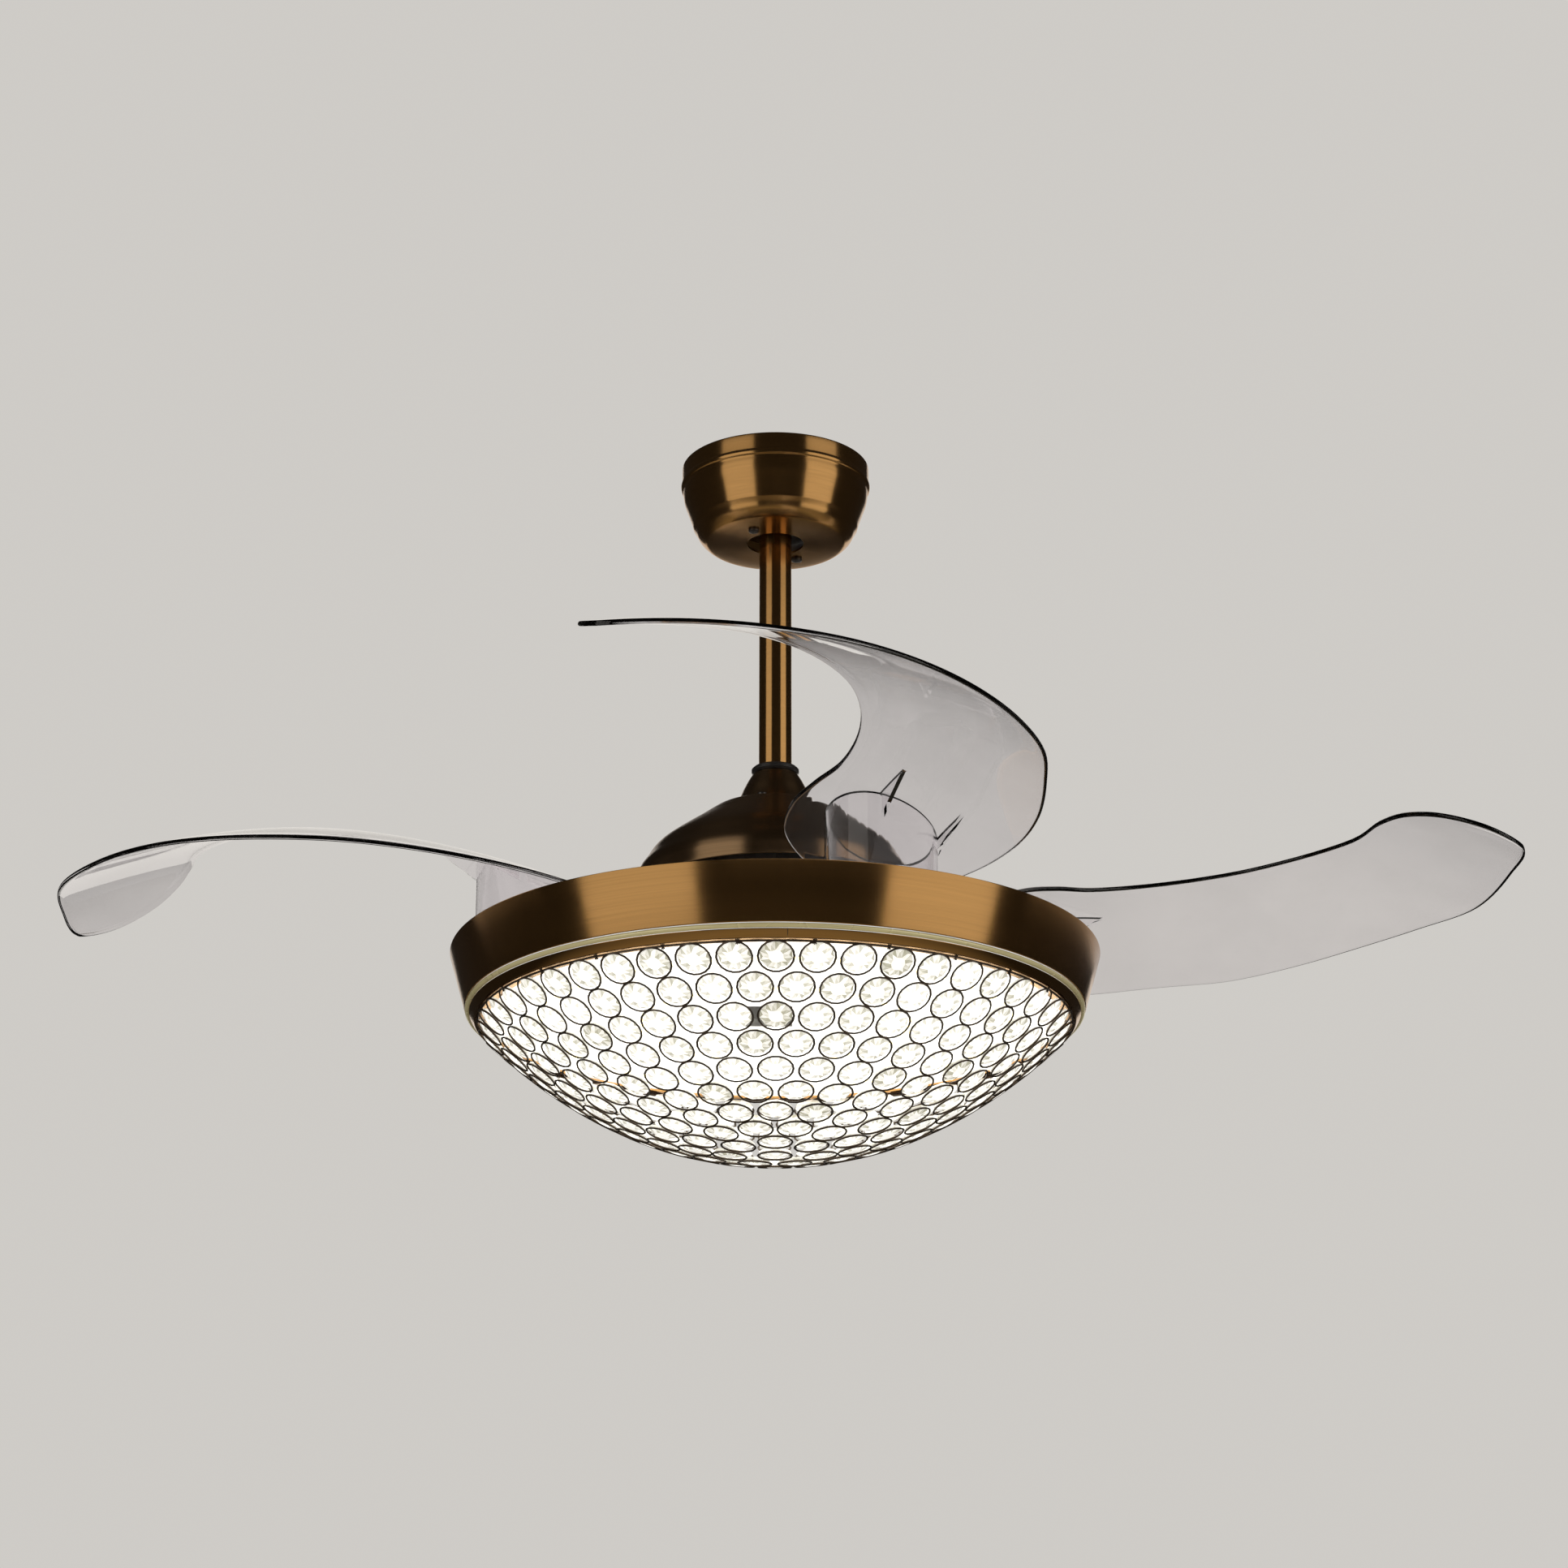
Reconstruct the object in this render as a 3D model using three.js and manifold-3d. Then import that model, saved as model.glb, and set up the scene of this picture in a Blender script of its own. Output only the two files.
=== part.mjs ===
// Ceiling fan with four clear blades that fold in over its drum, and a bowl light under the drum.
// Units are millimetres and +Z is up. The origin is the middle of the hanger bracket's top face,
// which lies against the ceiling, so every piece hangs below z = 0. The blades are built swung out.
import * as THREE from "three";
import { mergeVertices } from "three/addons/utils/BufferGeometryUtils.js";
import Module from "manifold-3d";

// ---- Clearances and counts -------------------------------------------------------------------
const SEAT_GAP = 0.3; // between pieces that touch
const BORE_CLEARANCE = 0.3; // between a pin or shaft and its hole, on the radius
const CUT_OVERRUN = 1; // a hole's cutter runs this far past each face
const BLADE_COUNT = 4;
const ROUND_SEGMENTS = 32;
const DRUM_SEGMENTS = 44;
const HIDDEN_SEGMENTS = 20; // round pieces inside the covers
const SMALL_SEGMENTS = 12;

// ---- Hanger bracket and ball -----------------------------------------------------------------
const FIXING_AZIMUTH = 60; // degrees: direction in which the bracket and its canopy screws lie
const BRACKET_LENGTH = 104;
const BRACKET_WIDTH = 34;
const BRACKET_THICKNESS = 3;
const BRACKET_SLOT_CENTRE = 46; // from the middle to each ceiling screw's slot
const BRACKET_SLOT_LENGTH = 10;
const BRACKET_SLOT_WIDTH = 5;
const BRACKET_LEG_CENTRE = 39.5; // from the fan's axis to the middle of a leg
const BRACKET_ARM_WIDTH = 20; // arms that carry the seat ring between the legs
const FOOT_REACH = 14; // inward length of the tab under each leg
const FOOT_WIDTH = 17;
const BALL_RADIUS = 24;
const BALL_CENTRE_Z = -31;
const BALL_TOP_CUT = 17; // height of the ball's flat top above its centre
const BALL_BOTTOM_CUT = 19.5; // drop of its flat underside below its centre
const BALL_RINGS = 10; // rings of faces from the ball's top to its bottom
const BALL_CLEARANCE = 0.6; // between the ball and its seat, so that it can swing
const SEAT_TOP_DROP = 8; // the seat ring starts this far below the ball's centre
const SEAT_BOTTOM_DROP = 17;
const SEAT_OUTER_RADIUS = 29;
const HANGER_PIN_RADIUS = 3;
const HANGER_PIN_LIFT = 6; // the pin's height above the ball's centre
const HANGER_PIN_RECESS = 2; // each end of the pin lies this far inside the ball's face

// ---- Canopy ----------------------------------------------------------------------------------
const CANOPY_RADIUS = 70;
const CANOPY_DEPTH = 60;
const CANOPY_WALL = 1.5;
const CANOPY_HOLE_RADIUS = 21;
const CANOPY_FLOOR_RADIUS = 52;
const CANOPY_BEAD = 0.8; // height of the bead round the side
const CANOPY_SCREW_RADIUS = 32; // from the fan's axis
const CANOPY_SCREW_SHANK = 2;
const CANOPY_SCREW_HEAD = 4;
const CANOPY_SCREW_HEAD_HEIGHT = 2;
const CANOPY_SCREW_LENGTH = 6.5;

// ---- Downrod, its collar and the bell under it -------------------------------------------------
const ROD_RADIUS = 12;
const ROD_WALL = 1.75;
const ROD_BOTTOM_Z = -262;
const COLLAR_RADIUS = 17.4;
const COLLAR_HEIGHT = 5;
const COLLAR_CHAMFER = 1.6;
const COLLAR_TOP_Z = -238;
const BELL_WALL = 1.2;
const BELL_TOP_RADIUS = 16.9;
const BELL_RIM_RADIUS = 32;
const BELL_BOTTOM_Z = -271.1;
const COUPLING_RADIUS = 15.2;
const COUPLING_TOP_Z = -251;
const COUPLING_BOTTOM_Z = -287;
const COUPLING_WEB = 4;
const COUPLING_FLANGE_RADIUS = 42;
const COUPLING_FLANGE_THICKNESS = 3;
const COUPLING_BOLT_RADIUS = 2.5;
const COUPLING_BOLT_LENGTH = 38;
const COUPLING_BOLT_Z = -257;

// ---- Motor -----------------------------------------------------------------------------------
const DOME_RADIUS = 100;
const DOME_WALL = 1.5;
const DOME_BOTTOM_Z = -336;
const DOME_FLAT_MARGIN = 1; // the dome's flat top reaches this far past the coupling's flange
// The dome's side: shares of the way out from its flat top, and of the way down.
const DOME_SIDE = [
  [0, 0], [0.298, 0.142], [0.509, 0.263], [0.716, 0.396], [0.818, 0.495], [0.9, 0.624],
  [1, 0.805], [1, 1],
];
const DOME_SCREW_COUNT = 4;
const DOME_SCREW_RADIUS = 37;
const DOME_SCREW_AZIMUTH = -105; // degrees: the screw nearest the front
const DOME_SCREW_SHANK = 2;
const DOME_SCREW_HEAD = 3.6;
const DOME_SCREW_HEAD_HEIGHT = 2;
const SHAFT_RADIUS = 10;
const SHAFT_BORE = 6;
const SHAFT_END_REACH = 0.6; // below the nut
const DOME_SCREW_END = 3; // reach of each dome screw below the coupling's flange
const BEARING_RADIUS = 18;
const BEARING_HEIGHT = 8;
const CAN_RADIUS = 70;
const CAN_WALL = 3;
const CAN_TOP_Z = -293;
const CAN_BOTTOM_Z = -336;
const MAGNET_THICKNESS = 4;
const MAGNET_HEIGHT = 28;
const AIR_GAP = 1.2;
const STATOR_SLOTS = 12;
const STATOR_HEIGHT = 22;
const STATOR_HUB_RADIUS = 32;
const STATOR_TOOTH_WIDTH = 9;
const STATOR_SHOE_WIDTH = 20;
const STATOR_SHOE_DEPTH = 5;
const WINDING_INNER_RADIUS = 36;
const WINDING_OUTER_RADIUS = 52;
const WINDING_HEIGHT = 6;

// ---- Drum, light pan and bowl light ------------------------------------------------------------
const DRUM_TOP_Z = -384;
const DRUM_TOP_RADIUS = 233;
const DRUM_BOTTOM_Z = -424;
const DRUM_BOTTOM_RADIUS = 222;
const DRUM_WALL = 1.5;
const PAN_THICKNESS = 1.5;
const PAN_RIM_HEIGHT = 9;
const PAN_TOP_Z = -420;
const SPACER_RADIUS = 14;
const NUT_RADIUS = 16;
const NUT_HEIGHT = 6;
const TRIM_INSET = 3; // from the drum's lower edge in to the middle of the bead
const TRIM_WIDTH = 4.4;
const TRIM_HEIGHT = 2.9;
const TRIM_POINTS = 6; // points of the bead's section
const LIP_INSET = 0.5; // from the middle of the bead in to the lip's upper edge
const LIP_LEAN = 4; // how much narrower the lip is at its lower edge
const LIP_HEIGHT = 5.4;
const LIP_LEDGE_WIDTH = 10.5;
const LIP_WALL = 1.5;
const LIGHT_PLATE_THICKNESS = 1.5;
const PLATE_RIM_GAP = 0.8; // between the plate's edge and the lip
const LED_RING_RADII = [168, 96]; // middle of each ring of light strip
const LED_RING_WIDTH = 14;
const LED_RING_THICKNESS = 1.6;
const DRIVER_SIZE = [86, 40, 4.5];
const DRIVER_OFFSET = 110;
const RECEIVER_SIZE = [34, 20, 9];
const RECEIVER_PLACE = [-5, -34];
const BOWL_RIM_INSET = 0.5; // from the lip's lower edge in to the bowl's rim
const BOWL_DEPTH = 96;
const BOWL_ROWS = 11;
const BOWL_FULLNESS = 2.15; // exponent of the bowl's section: 2 is a paraboloid
const BOWL_WALL = 6;
const BOWL_SEGMENTS = 32;

// ---- Blade carrier and pivots ------------------------------------------------------------------
const BOSS_DRUM_GAP = 3.425; // running gap between a blade's boss and the drum
const FIRST_PIVOT_AZIMUTH = -67.5; // degrees
const CARRIER_THICKNESS = 3;
const CARRIER_HUB_RADIUS = 42;
const CARRIER_NECK_RADIUS = 84;
const CARRIER_BOSS_GAP = 3.5; // between a blade's boss and the foot of the carrier's slope
const CARRIER_DRUM_GAP = 8.1; // running gap between the carrier's rim and the drum
const CARRIER_TOP_Z = -400;
const POST_RADIUS = 8;
const POST_FLANGE_RADIUS = 15;
const POST_FLANGE_HEIGHT = 2.4;
const SPRING_RADIUS = 19;
const SPRING_WIRE = 4;
const SPRING_HEIGHT = 14;
const CAP_RADIUS = 12.5;
const CAP_HEIGHT = 3;

// ---- Blades ----------------------------------------------------------------------------------
const BLADE_THICKNESS = 3;
const FOLD_ANGLE = -117; // degrees that a blade turns about its pivot from swung out to folded
const BLADE_LOW_Z = -361.5; // middle of the blade where it would meet the guide radius at its pivot
const BLADE_GUIDE_RADIUS = 232;
const BLADE_TILT = 0.479; // rise for each millimetre inward at the guide radius when folded
const BLADE_EASE = 0.000715; // part of the rise lost for each square millimetre inward
const BLADE_RISE_PER_QUARTER = 12; // rise over a quarter turn when folded, so that blades stack
const BLADE_LENGTH_STEPS = 20;
const BLADE_WIDTH_STEPS = 3;
const BOSS_RADIUS = 38.5;
const BOSS_WALL = 2.5;
const BOSS_FLOOR = 3;
const BOSS_BASE_HEIGHT = 8; // straight wall above the floor, under the wall that follows the blade
const BOSS_WALL_OVERLAP = 1; // the upper wall starts this far down in the base
const BOSS_HUB_RADIUS = 13.5;
const BOSS_HUB_HEIGHT = 22;
const BOSS_SEGMENTS = 20;
const GUSSET_THICKNESS = 2.5;
const GUSSET_TOE = 1.3; // depth of a gusset's thin end below the middle of the blade
const GUSSETS = [
  { offset: -15, reach: 72, depth: 18 },
  { offset: 34, reach: 58, depth: 10 },
];
// Outline seen from above about the pivot, with +X pointing away from the fan's axis:
// the tip, the long outer edge, the rounded root behind the boss, then the inner edge.
const BLADE_OUTLINE = [
  [254, -298], [280, -244], [296, -173], [284, -112], [263, -59], [236, -14], [200, 24],
  [156, 48], [104, 68], [58, 74], [9, 67], [-29, 50], [-54, 15], [-65, -23], [-44, -53],
  [-14, -60], [13, -56], [44, -50], [81, -54], [118, -68], [152, -93], [180, -133],
  [194, -177], [191, -217], [192, -250], [203, -281], [226, -301],
];
const BLADE_ROOT_INDEX = 12; // the outline's point furthest from the tip

// ---- Materials -------------------------------------------------------------------------------
const finish = (color, metalness, roughness, more = {}) =>
  new THREE.MeshStandardMaterial({ color, metalness, roughness, ...more });
const MATERIALS = {
  brass: finish(0x8f6a3a, 1, 0.32),
  paleBrass: finish(0xd8bf8a, 1, 0.22),
  black: finish(0x17130f, 0.2, 0.4),
  steel: finish(0x9b9da0, 1, 0.4),
  castAluminium: finish(0x8b8d90, 1, 0.55),
  darkSteel: finish(0x3c3b3a, 1, 0.45),
  copper: finish(0xb06a3a, 1, 0.45),
  magnet: finish(0x35322f, 0.3, 0.6),
  whitePaint: finish(0xf2efe8, 0, 0.5),
  led: finish(0xfff1c8, 0, 0.5, { emissive: 0xffe2a0, emissiveIntensity: 1 }),
  crystal: finish(0xf6f4ff, 0, 0.05, { transparent: true, opacity: 0.75 }),
  clearPlastic: finish(0xc9c4cc, 0, 0.05, { transparent: true, opacity: 0.3 }),
  nylon: finish(0xe6e2d6, 0, 0.5),
};

// ---- Solids ----------------------------------------------------------------------------------
const wasm = await Module();
wasm.setup();

const radians = THREE.MathUtils.degToRad;

/** Makes a closed geometry a solid whose faces point out. */
function toSolid(geometry) {
  const bare = geometry.clone();
  bare.deleteAttribute("normal");
  bare.deleteAttribute("uv");
  const merged = mergeVertices(bare, 1e-4);
  const faces = [];
  for (let i = 0; i < merged.index.count; i += 3) {
    const [a, b, c] = [0, 1, 2].map((k) => merged.index.getX(i + k));
    if (a !== b && b !== c && c !== a) faces.push([a, b, c]);
  }
  const make = (list) =>
    new wasm.Manifold(
      new wasm.Mesh({
        numProp: 3,
        vertProperties: new Float32Array(merged.attributes.position.array),
        triVerts: new Uint32Array(list.flat()),
      }),
    );
  const solid = make(faces);
  return solid.volume() > 0 ? solid : make(faces.map(([a, b, c]) => [a, c, b]));
}

/** Gives a solid back as a geometry with flat faces. */
function toGeometry(solid) {
  const mesh = solid.getMesh();
  const positions = new Float32Array(mesh.numVert * 3);
  for (let i = 0; i < mesh.numVert; i++) {
    positions.set(mesh.vertProperties.subarray(i * mesh.numProp, i * mesh.numProp + 3), i * 3);
  }
  const indexed = new THREE.BufferGeometry()
    .setAttribute("position", new THREE.BufferAttribute(positions, 3))
    .setIndex(new THREE.BufferAttribute(mesh.triVerts, 1));
  const geometry = indexed.toNonIndexed();
  geometry.computeVertexNormals();
  return geometry;
}

const joined = (...solids) => solids.reduce((whole, one) => whole.add(one));
const cut = (solid, ...tools) => tools.reduce((left, tool) => left.subtract(tool), solid);

/** A turned solid about Z from an outline of [radius, z] points that closes on itself. */
function turned(outline, segments = ROUND_SEGMENTS) {
  const points = [...outline, outline[0]].map(([r, z]) => new THREE.Vector2(r, z));
  return toSolid(new THREE.LatheGeometry(points, segments).rotateX(Math.PI / 2));
}

/** A flat ring about Z between two radii and two heights. */
const ring = (inner, outer, low, high, segments = ROUND_SEGMENTS) =>
  turned([[inner, low], [outer, low], [outer, high], [inner, high]], segments);

/** A flat ring among the pieces that the covers hide. */
const hiddenRing = (inner, outer, low, high) => ring(inner, outer, low, high, HIDDEN_SEGMENTS);

/** A turned shell from an outer line of [radius, z] points, drawn downward, with its wall inside. */
function shell(outer, wall, segments = ROUND_SEGMENTS) {
  const line = outer.map(([r, z]) => new THREE.Vector2(r, z));
  const inner = line.map((point, i) => {
    const before = line[Math.max(i - 1, 0)];
    const after = line[Math.min(i + 1, line.length - 1)];
    const along = after.clone().sub(before).normalize();
    return [point.x + along.y * wall, point.y - along.x * wall];
  });
  return turned([...outer, ...inner.reverse()], segments);
}

/** A box with its middle at [x, y, z]. */
const block = (size, centre) =>
  toSolid(new THREE.BoxGeometry(...size).translate(...centre));

/** An upright cylinder, solid from low to high, with its axis at [x, y]. */
function rod(radius, low, high, [x, y] = [0, 0], segments = SMALL_SEGMENTS) {
  const cylinder = new THREE.CylinderGeometry(radius, radius, high - low, segments);
  return toSolid(cylinder.rotateX(Math.PI / 2).translate(x, y, (low + high) / 2));
}

/** A cylinder along X through the fan's axis at height z. */
function crossRod(radius, length, z) {
  const cylinder = new THREE.CylinderGeometry(radius, radius, length, SMALL_SEGMENTS);
  return toSolid(cylinder.rotateZ(Math.PI / 2).translate(0, 0, z));
}

/** An upright hole's cutter for a pin or screw of a radius, through a wall from low to high. */
const holeCutter = (radius, low, high, place, segments) =>
  rod(radius + BORE_CLEARANCE, low - CUT_OVERRUN, high + CUT_OVERRUN, place, segments);

/** A cutter along X for a cross pin of a radius through a piece of a given half width. */
const crossCutter = (radius, halfWidth, z) =>
  crossRod(radius + BORE_CLEARANCE, 2 * (halfWidth + CUT_OVERRUN), z);

/** A screw along Z with a rounded head: its shank runs from its seat, and direction 1 is head up. */
function screw({ shank, head, headHeight, length }, seat, direction) {
  const shoulder = seat + direction * headHeight * 0.5;
  const crown = seat + direction * headHeight;
  const end = seat - direction * length;
  const outline = [
    [0, end], [shank, end], [shank, seat], [head, seat], [head, shoulder],
    [head * 0.72, seat + direction * headHeight * 0.9], [0, crown],
  ];
  return turned(outline, SMALL_SEGMENTS);
}

/** A closed solid between two equal grids of points; a closed grid joins its last row to its first. */
function between(top, bottom, closed = false) {
  const rows = top.length;
  const columns = top[0].length;
  const positions = [...top, ...bottom].flat().flatMap((p) => [p.x, p.y, p.z]);
  const at = (side, row, column) => (side * rows + (row % rows)) * columns + column;
  const faces = [];
  const quad = (a, b, c, d) => faces.push(a, b, c, a, c, d);
  const lastRow = closed ? rows : rows - 1;
  for (let i = 0; i < lastRow; i++) {
    for (let j = 0; j < columns - 1; j++) {
      quad(at(0, i, j), at(0, i + 1, j), at(0, i + 1, j + 1), at(0, i, j + 1));
      quad(at(1, i, j), at(1, i, j + 1), at(1, i + 1, j + 1), at(1, i + 1, j));
    }
    quad(at(0, i, 0), at(1, i, 0), at(1, i + 1, 0), at(0, i + 1, 0));
    const j = columns - 1;
    quad(at(0, i, j), at(0, i + 1, j), at(1, i + 1, j), at(1, i, j));
  }
  if (!closed) {
    for (let j = 0; j < columns - 1; j++) {
      quad(at(0, 0, j), at(0, 0, j + 1), at(1, 0, j + 1), at(1, 0, j));
      quad(at(0, lastRow, j), at(1, lastRow, j), at(1, lastRow, j + 1), at(0, lastRow, j + 1));
    }
  }
  const geometry = new THREE.BufferGeometry();
  geometry.setAttribute("position", new THREE.Float32BufferAttribute(positions, 3));
  geometry.setIndex(faces);
  return toSolid(geometry);
}

// ---- The fan ---------------------------------------------------------------------------------
const fan = new THREE.Group();

/** Adds a solid to a parent as a named mesh. */
function add(parent, name, solid, material) {
  const mesh = new THREE.Mesh(toGeometry(solid), material);
  mesh.name = name;
  parent.add(mesh);
  return mesh;
}

/** A group turned about the fan's axis by an azimuth in degrees. */
function turnedGroup(azimuth, radius = 0) {
  const group = new THREE.Group();
  group.rotation.z = radians(azimuth);
  group.position.set(Math.cos(radians(azimuth)) * radius, Math.sin(radians(azimuth)) * radius, 0);
  fan.add(group);
  return group;
}

const CANOPY_FLOOR_TOP_Z = -CANOPY_DEPTH + CANOPY_WALL;
const HANGER_PIN_Z = BALL_CENTRE_Z + HANGER_PIN_LIFT;

/** The ring that the hanger ball sits in: its inside follows the ball. */
function ballSeat() {
  const onBall = (drop) => Math.sqrt(BALL_RADIUS ** 2 - drop ** 2) + BALL_CLEARANCE;
  const middle = (SEAT_TOP_DROP + SEAT_BOTTOM_DROP) / 2;
  return turned([
    [onBall(SEAT_TOP_DROP), BALL_CENTRE_Z - SEAT_TOP_DROP],
    [SEAT_OUTER_RADIUS, BALL_CENTRE_Z - SEAT_TOP_DROP],
    [SEAT_OUTER_RADIUS, BALL_CENTRE_Z - SEAT_BOTTOM_DROP],
    [onBall(SEAT_BOTTOM_DROP), BALL_CENTRE_Z - SEAT_BOTTOM_DROP],
    [onBall(middle), BALL_CENTRE_Z - middle],
  ], HIDDEN_SEGMENTS);
}

/** Stamped bracket: a top plate, two legs with feet for the canopy screws, and the ball's seat. */
function hangerBracket() {
  const T = BRACKET_THICKNESS;
  const footBottom = CANOPY_FLOOR_TOP_Z + SEAT_GAP;
  const footTop = footBottom + T;
  const seatZ = BALL_CENTRE_Z - (SEAT_TOP_DROP + SEAT_BOTTOM_DROP) / 2;
  const armStart = SEAT_OUTER_RADIUS - T / 2; // inside the ring's wall
  const armLength = BRACKET_LEG_CENTRE - armStart;
  const plate = block([BRACKET_LENGTH, BRACKET_WIDTH, T], [0, 0, -T / 2]);
  let bracket = joined(plate, ballSeat());
  for (const side of [-1, 1]) {
    const legX = side * BRACKET_LEG_CENTRE;
    const armX = side * (armStart + armLength / 2);
    const footX = side * (BRACKET_LEG_CENTRE - FOOT_REACH / 2);
    const leg = block([T, BRACKET_WIDTH, -footBottom], [legX, 0, footBottom / 2]);
    const arm = block([armLength, BRACKET_ARM_WIDTH, T], [armX, 0, seatZ]);
    const foot = block([FOOT_REACH, FOOT_WIDTH, T], [footX, 0, footBottom + T / 2]);
    const slot = block(
      [BRACKET_SLOT_LENGTH, BRACKET_SLOT_WIDTH, T + 2 * CUT_OVERRUN],
      [side * BRACKET_SLOT_CENTRE, 0, -T / 2],
    );
    const place = [side * CANOPY_SCREW_RADIUS, 0];
    const screwHole = holeCutter(CANOPY_SCREW_SHANK, footBottom, footTop, place);
    bracket = cut(joined(bracket, leg, arm, foot), slot, screwHole);
  }
  return bracket;
}

/** Pressed canopy: a straight side with a bead, a curved shoulder, a crease and a flat floor. */
function canopyShell() {
  const R = CANOPY_RADIUS;
  const D = CANOPY_DEPTH;
  const outer = [
    [R, -SEAT_GAP], [R, -12.4], [R + CANOPY_BEAD, -14.9], [R - CANOPY_BEAD, -17.4], [R - 1, -22],
    [R - 4.2, 26.6 - D], [R - 8, 15.4 - D], [R - 8.6, 13.2 - D], [R - 11, 9.4 - D],
    [CANOPY_FLOOR_RADIUS + 3.4, 3 - D], [CANOPY_FLOOR_RADIUS, -D], [CANOPY_HOLE_RADIUS, -D],
  ];
  const screwHoles = [-1, 1].map((side) =>
    holeCutter(CANOPY_SCREW_SHANK, -D, CANOPY_FLOOR_TOP_Z, [side * CANOPY_SCREW_RADIUS, 0]),
  );
  return cut(shell(outer, CANOPY_WALL), ...screwHoles);
}

function addCeilingMount() {
  const across = turnedGroup(FIXING_AZIMUTH);
  add(across, "hanger_bracket", hangerBracket(), MATERIALS.steel);
  add(across, "canopy", canopyShell(), MATERIALS.brass);
  const size = {
    shank: CANOPY_SCREW_SHANK,
    head: CANOPY_SCREW_HEAD,
    headHeight: CANOPY_SCREW_HEAD_HEIGHT,
    length: CANOPY_SCREW_LENGTH,
  };
  const solid = screw(size, -CANOPY_DEPTH - SEAT_GAP, -1);
  [-1, 1].forEach((side, i) => {
    const mesh = add(across, `canopy_screw_${i + 1}`, solid, MATERIALS.darkSteel);
    mesh.position.x = side * CANOPY_SCREW_RADIUS;
  });
}

/** Ball on the downrod's top end: a truncated sphere bored for the rod and cross-drilled for its pin. */
function hangerBall() {
  const top = BALL_CENTRE_Z + BALL_TOP_CUT;
  const bottom = BALL_CENTRE_Z - BALL_BOTTOM_CUT;
  const geometry = new THREE.SphereGeometry(BALL_RADIUS, HIDDEN_SEGMENTS, BALL_RINGS);
  const sphere = toSolid(geometry.rotateX(Math.PI / 2).translate(0, 0, BALL_CENTRE_Z));
  const D = 2 * BALL_RADIUS;
  const above = block([D, D, D], [0, 0, top + D / 2]);
  const below = block([D, D, D], [0, 0, bottom - D / 2]);
  const bore = holeCutter(ROD_RADIUS, bottom, top, [0, 0], HIDDEN_SEGMENTS);
  return cut(sphere, above, below, bore, crossCutter(HANGER_PIN_RADIUS, BALL_RADIUS, HANGER_PIN_Z));
}

function downrod() {
  const top = BALL_CENTRE_Z + BALL_TOP_CUT;
  const tube = ring(ROD_RADIUS - ROD_WALL, ROD_RADIUS, ROD_BOTTOM_Z, top, HIDDEN_SEGMENTS);
  const pinHole = crossCutter(HANGER_PIN_RADIUS, ROD_RADIUS, HANGER_PIN_Z);
  const boltHole = crossCutter(COUPLING_BOLT_RADIUS, ROD_RADIUS, COUPLING_BOLT_Z);
  return cut(tube, pinHole, boltHole);
}

/** Coupling: sockets for the rod above and the motor shaft below, and a flange under the dome. */
function shaftCoupling() {
  const rodBore = ROD_RADIUS + BORE_CLEARANCE;
  const shaftBore = SHAFT_RADIUS + BORE_CLEARANCE;
  const webTop = ROD_BOTTOM_Z - SEAT_GAP;
  const flangeTop = BELL_BOTTOM_Z - SEAT_GAP - DOME_WALL - SEAT_GAP;
  const flangeBottom = flangeTop - COUPLING_FLANGE_THICKNESS;
  const body = turned([
    [rodBore, COUPLING_TOP_Z], [COUPLING_RADIUS, COUPLING_TOP_Z], [COUPLING_RADIUS, flangeTop],
    [COUPLING_FLANGE_RADIUS, flangeTop], [COUPLING_FLANGE_RADIUS, flangeBottom],
    [COUPLING_RADIUS, flangeBottom], [COUPLING_RADIUS, COUPLING_BOTTOM_Z],
    [shaftBore, COUPLING_BOTTOM_Z], [shaftBore, webTop - COUPLING_WEB],
    [SHAFT_BORE, webTop - COUPLING_WEB], [SHAFT_BORE, webTop], [rodBore, webTop],
  ], HIDDEN_SEGMENTS);
  const boltHole = crossCutter(COUPLING_BOLT_RADIUS, COUPLING_RADIUS, COUPLING_BOLT_Z);
  const screwHoles = domeScrewPlaces().map((place) =>
    holeCutter(DOME_SCREW_SHANK, flangeBottom, flangeTop, place),
  );
  return cut(body, boltHole, ...screwHoles);
}

const domeScrewPlaces = () =>
  Array.from({ length: DOME_SCREW_COUNT }, (_, i) => {
    const angle = radians(DOME_SCREW_AZIMUTH + (i * 360) / DOME_SCREW_COUNT);
    return [DOME_SCREW_RADIUS * Math.cos(angle), DOME_SCREW_RADIUS * Math.sin(angle)];
  });

/** Domed motor cover: flat where the bell stands on it, then a long curve down to a straight skirt. */
function motorDome() {
  const top = BELL_BOTTOM_Z - SEAT_GAP;
  const hole = COUPLING_RADIUS + 2 * BORE_CLEARANCE;
  const flat = COUPLING_FLANGE_RADIUS + DOME_FLAT_MARGIN;
  const side = DOME_SIDE.map(([out, down]) => [
    THREE.MathUtils.lerp(flat, DOME_RADIUS, out),
    THREE.MathUtils.lerp(top, DOME_BOTTOM_Z, down),
  ]);
  const outer = [[hole, top], ...side];
  const screwHoles = domeScrewPlaces().map((place) =>
    holeCutter(DOME_SCREW_SHANK, top - DOME_WALL, top, place),
  );
  return cut(shell(outer, DOME_WALL), ...screwHoles);
}

/** Bead on the rod that hides the top of the bell. */
function rodCollar(bottom) {
  const inner = ROD_RADIUS + BORE_CLEARANCE;
  const R = COLLAR_RADIUS;
  return turned([
    [inner, COLLAR_TOP_Z], [R - COLLAR_CHAMFER, COLLAR_TOP_Z], [R, COLLAR_TOP_Z - COLLAR_CHAMFER],
    [R, bottom + COLLAR_CHAMFER], [R - COLLAR_CHAMFER, bottom], [inner, bottom],
  ], HIDDEN_SEGMENTS);
}

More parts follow.
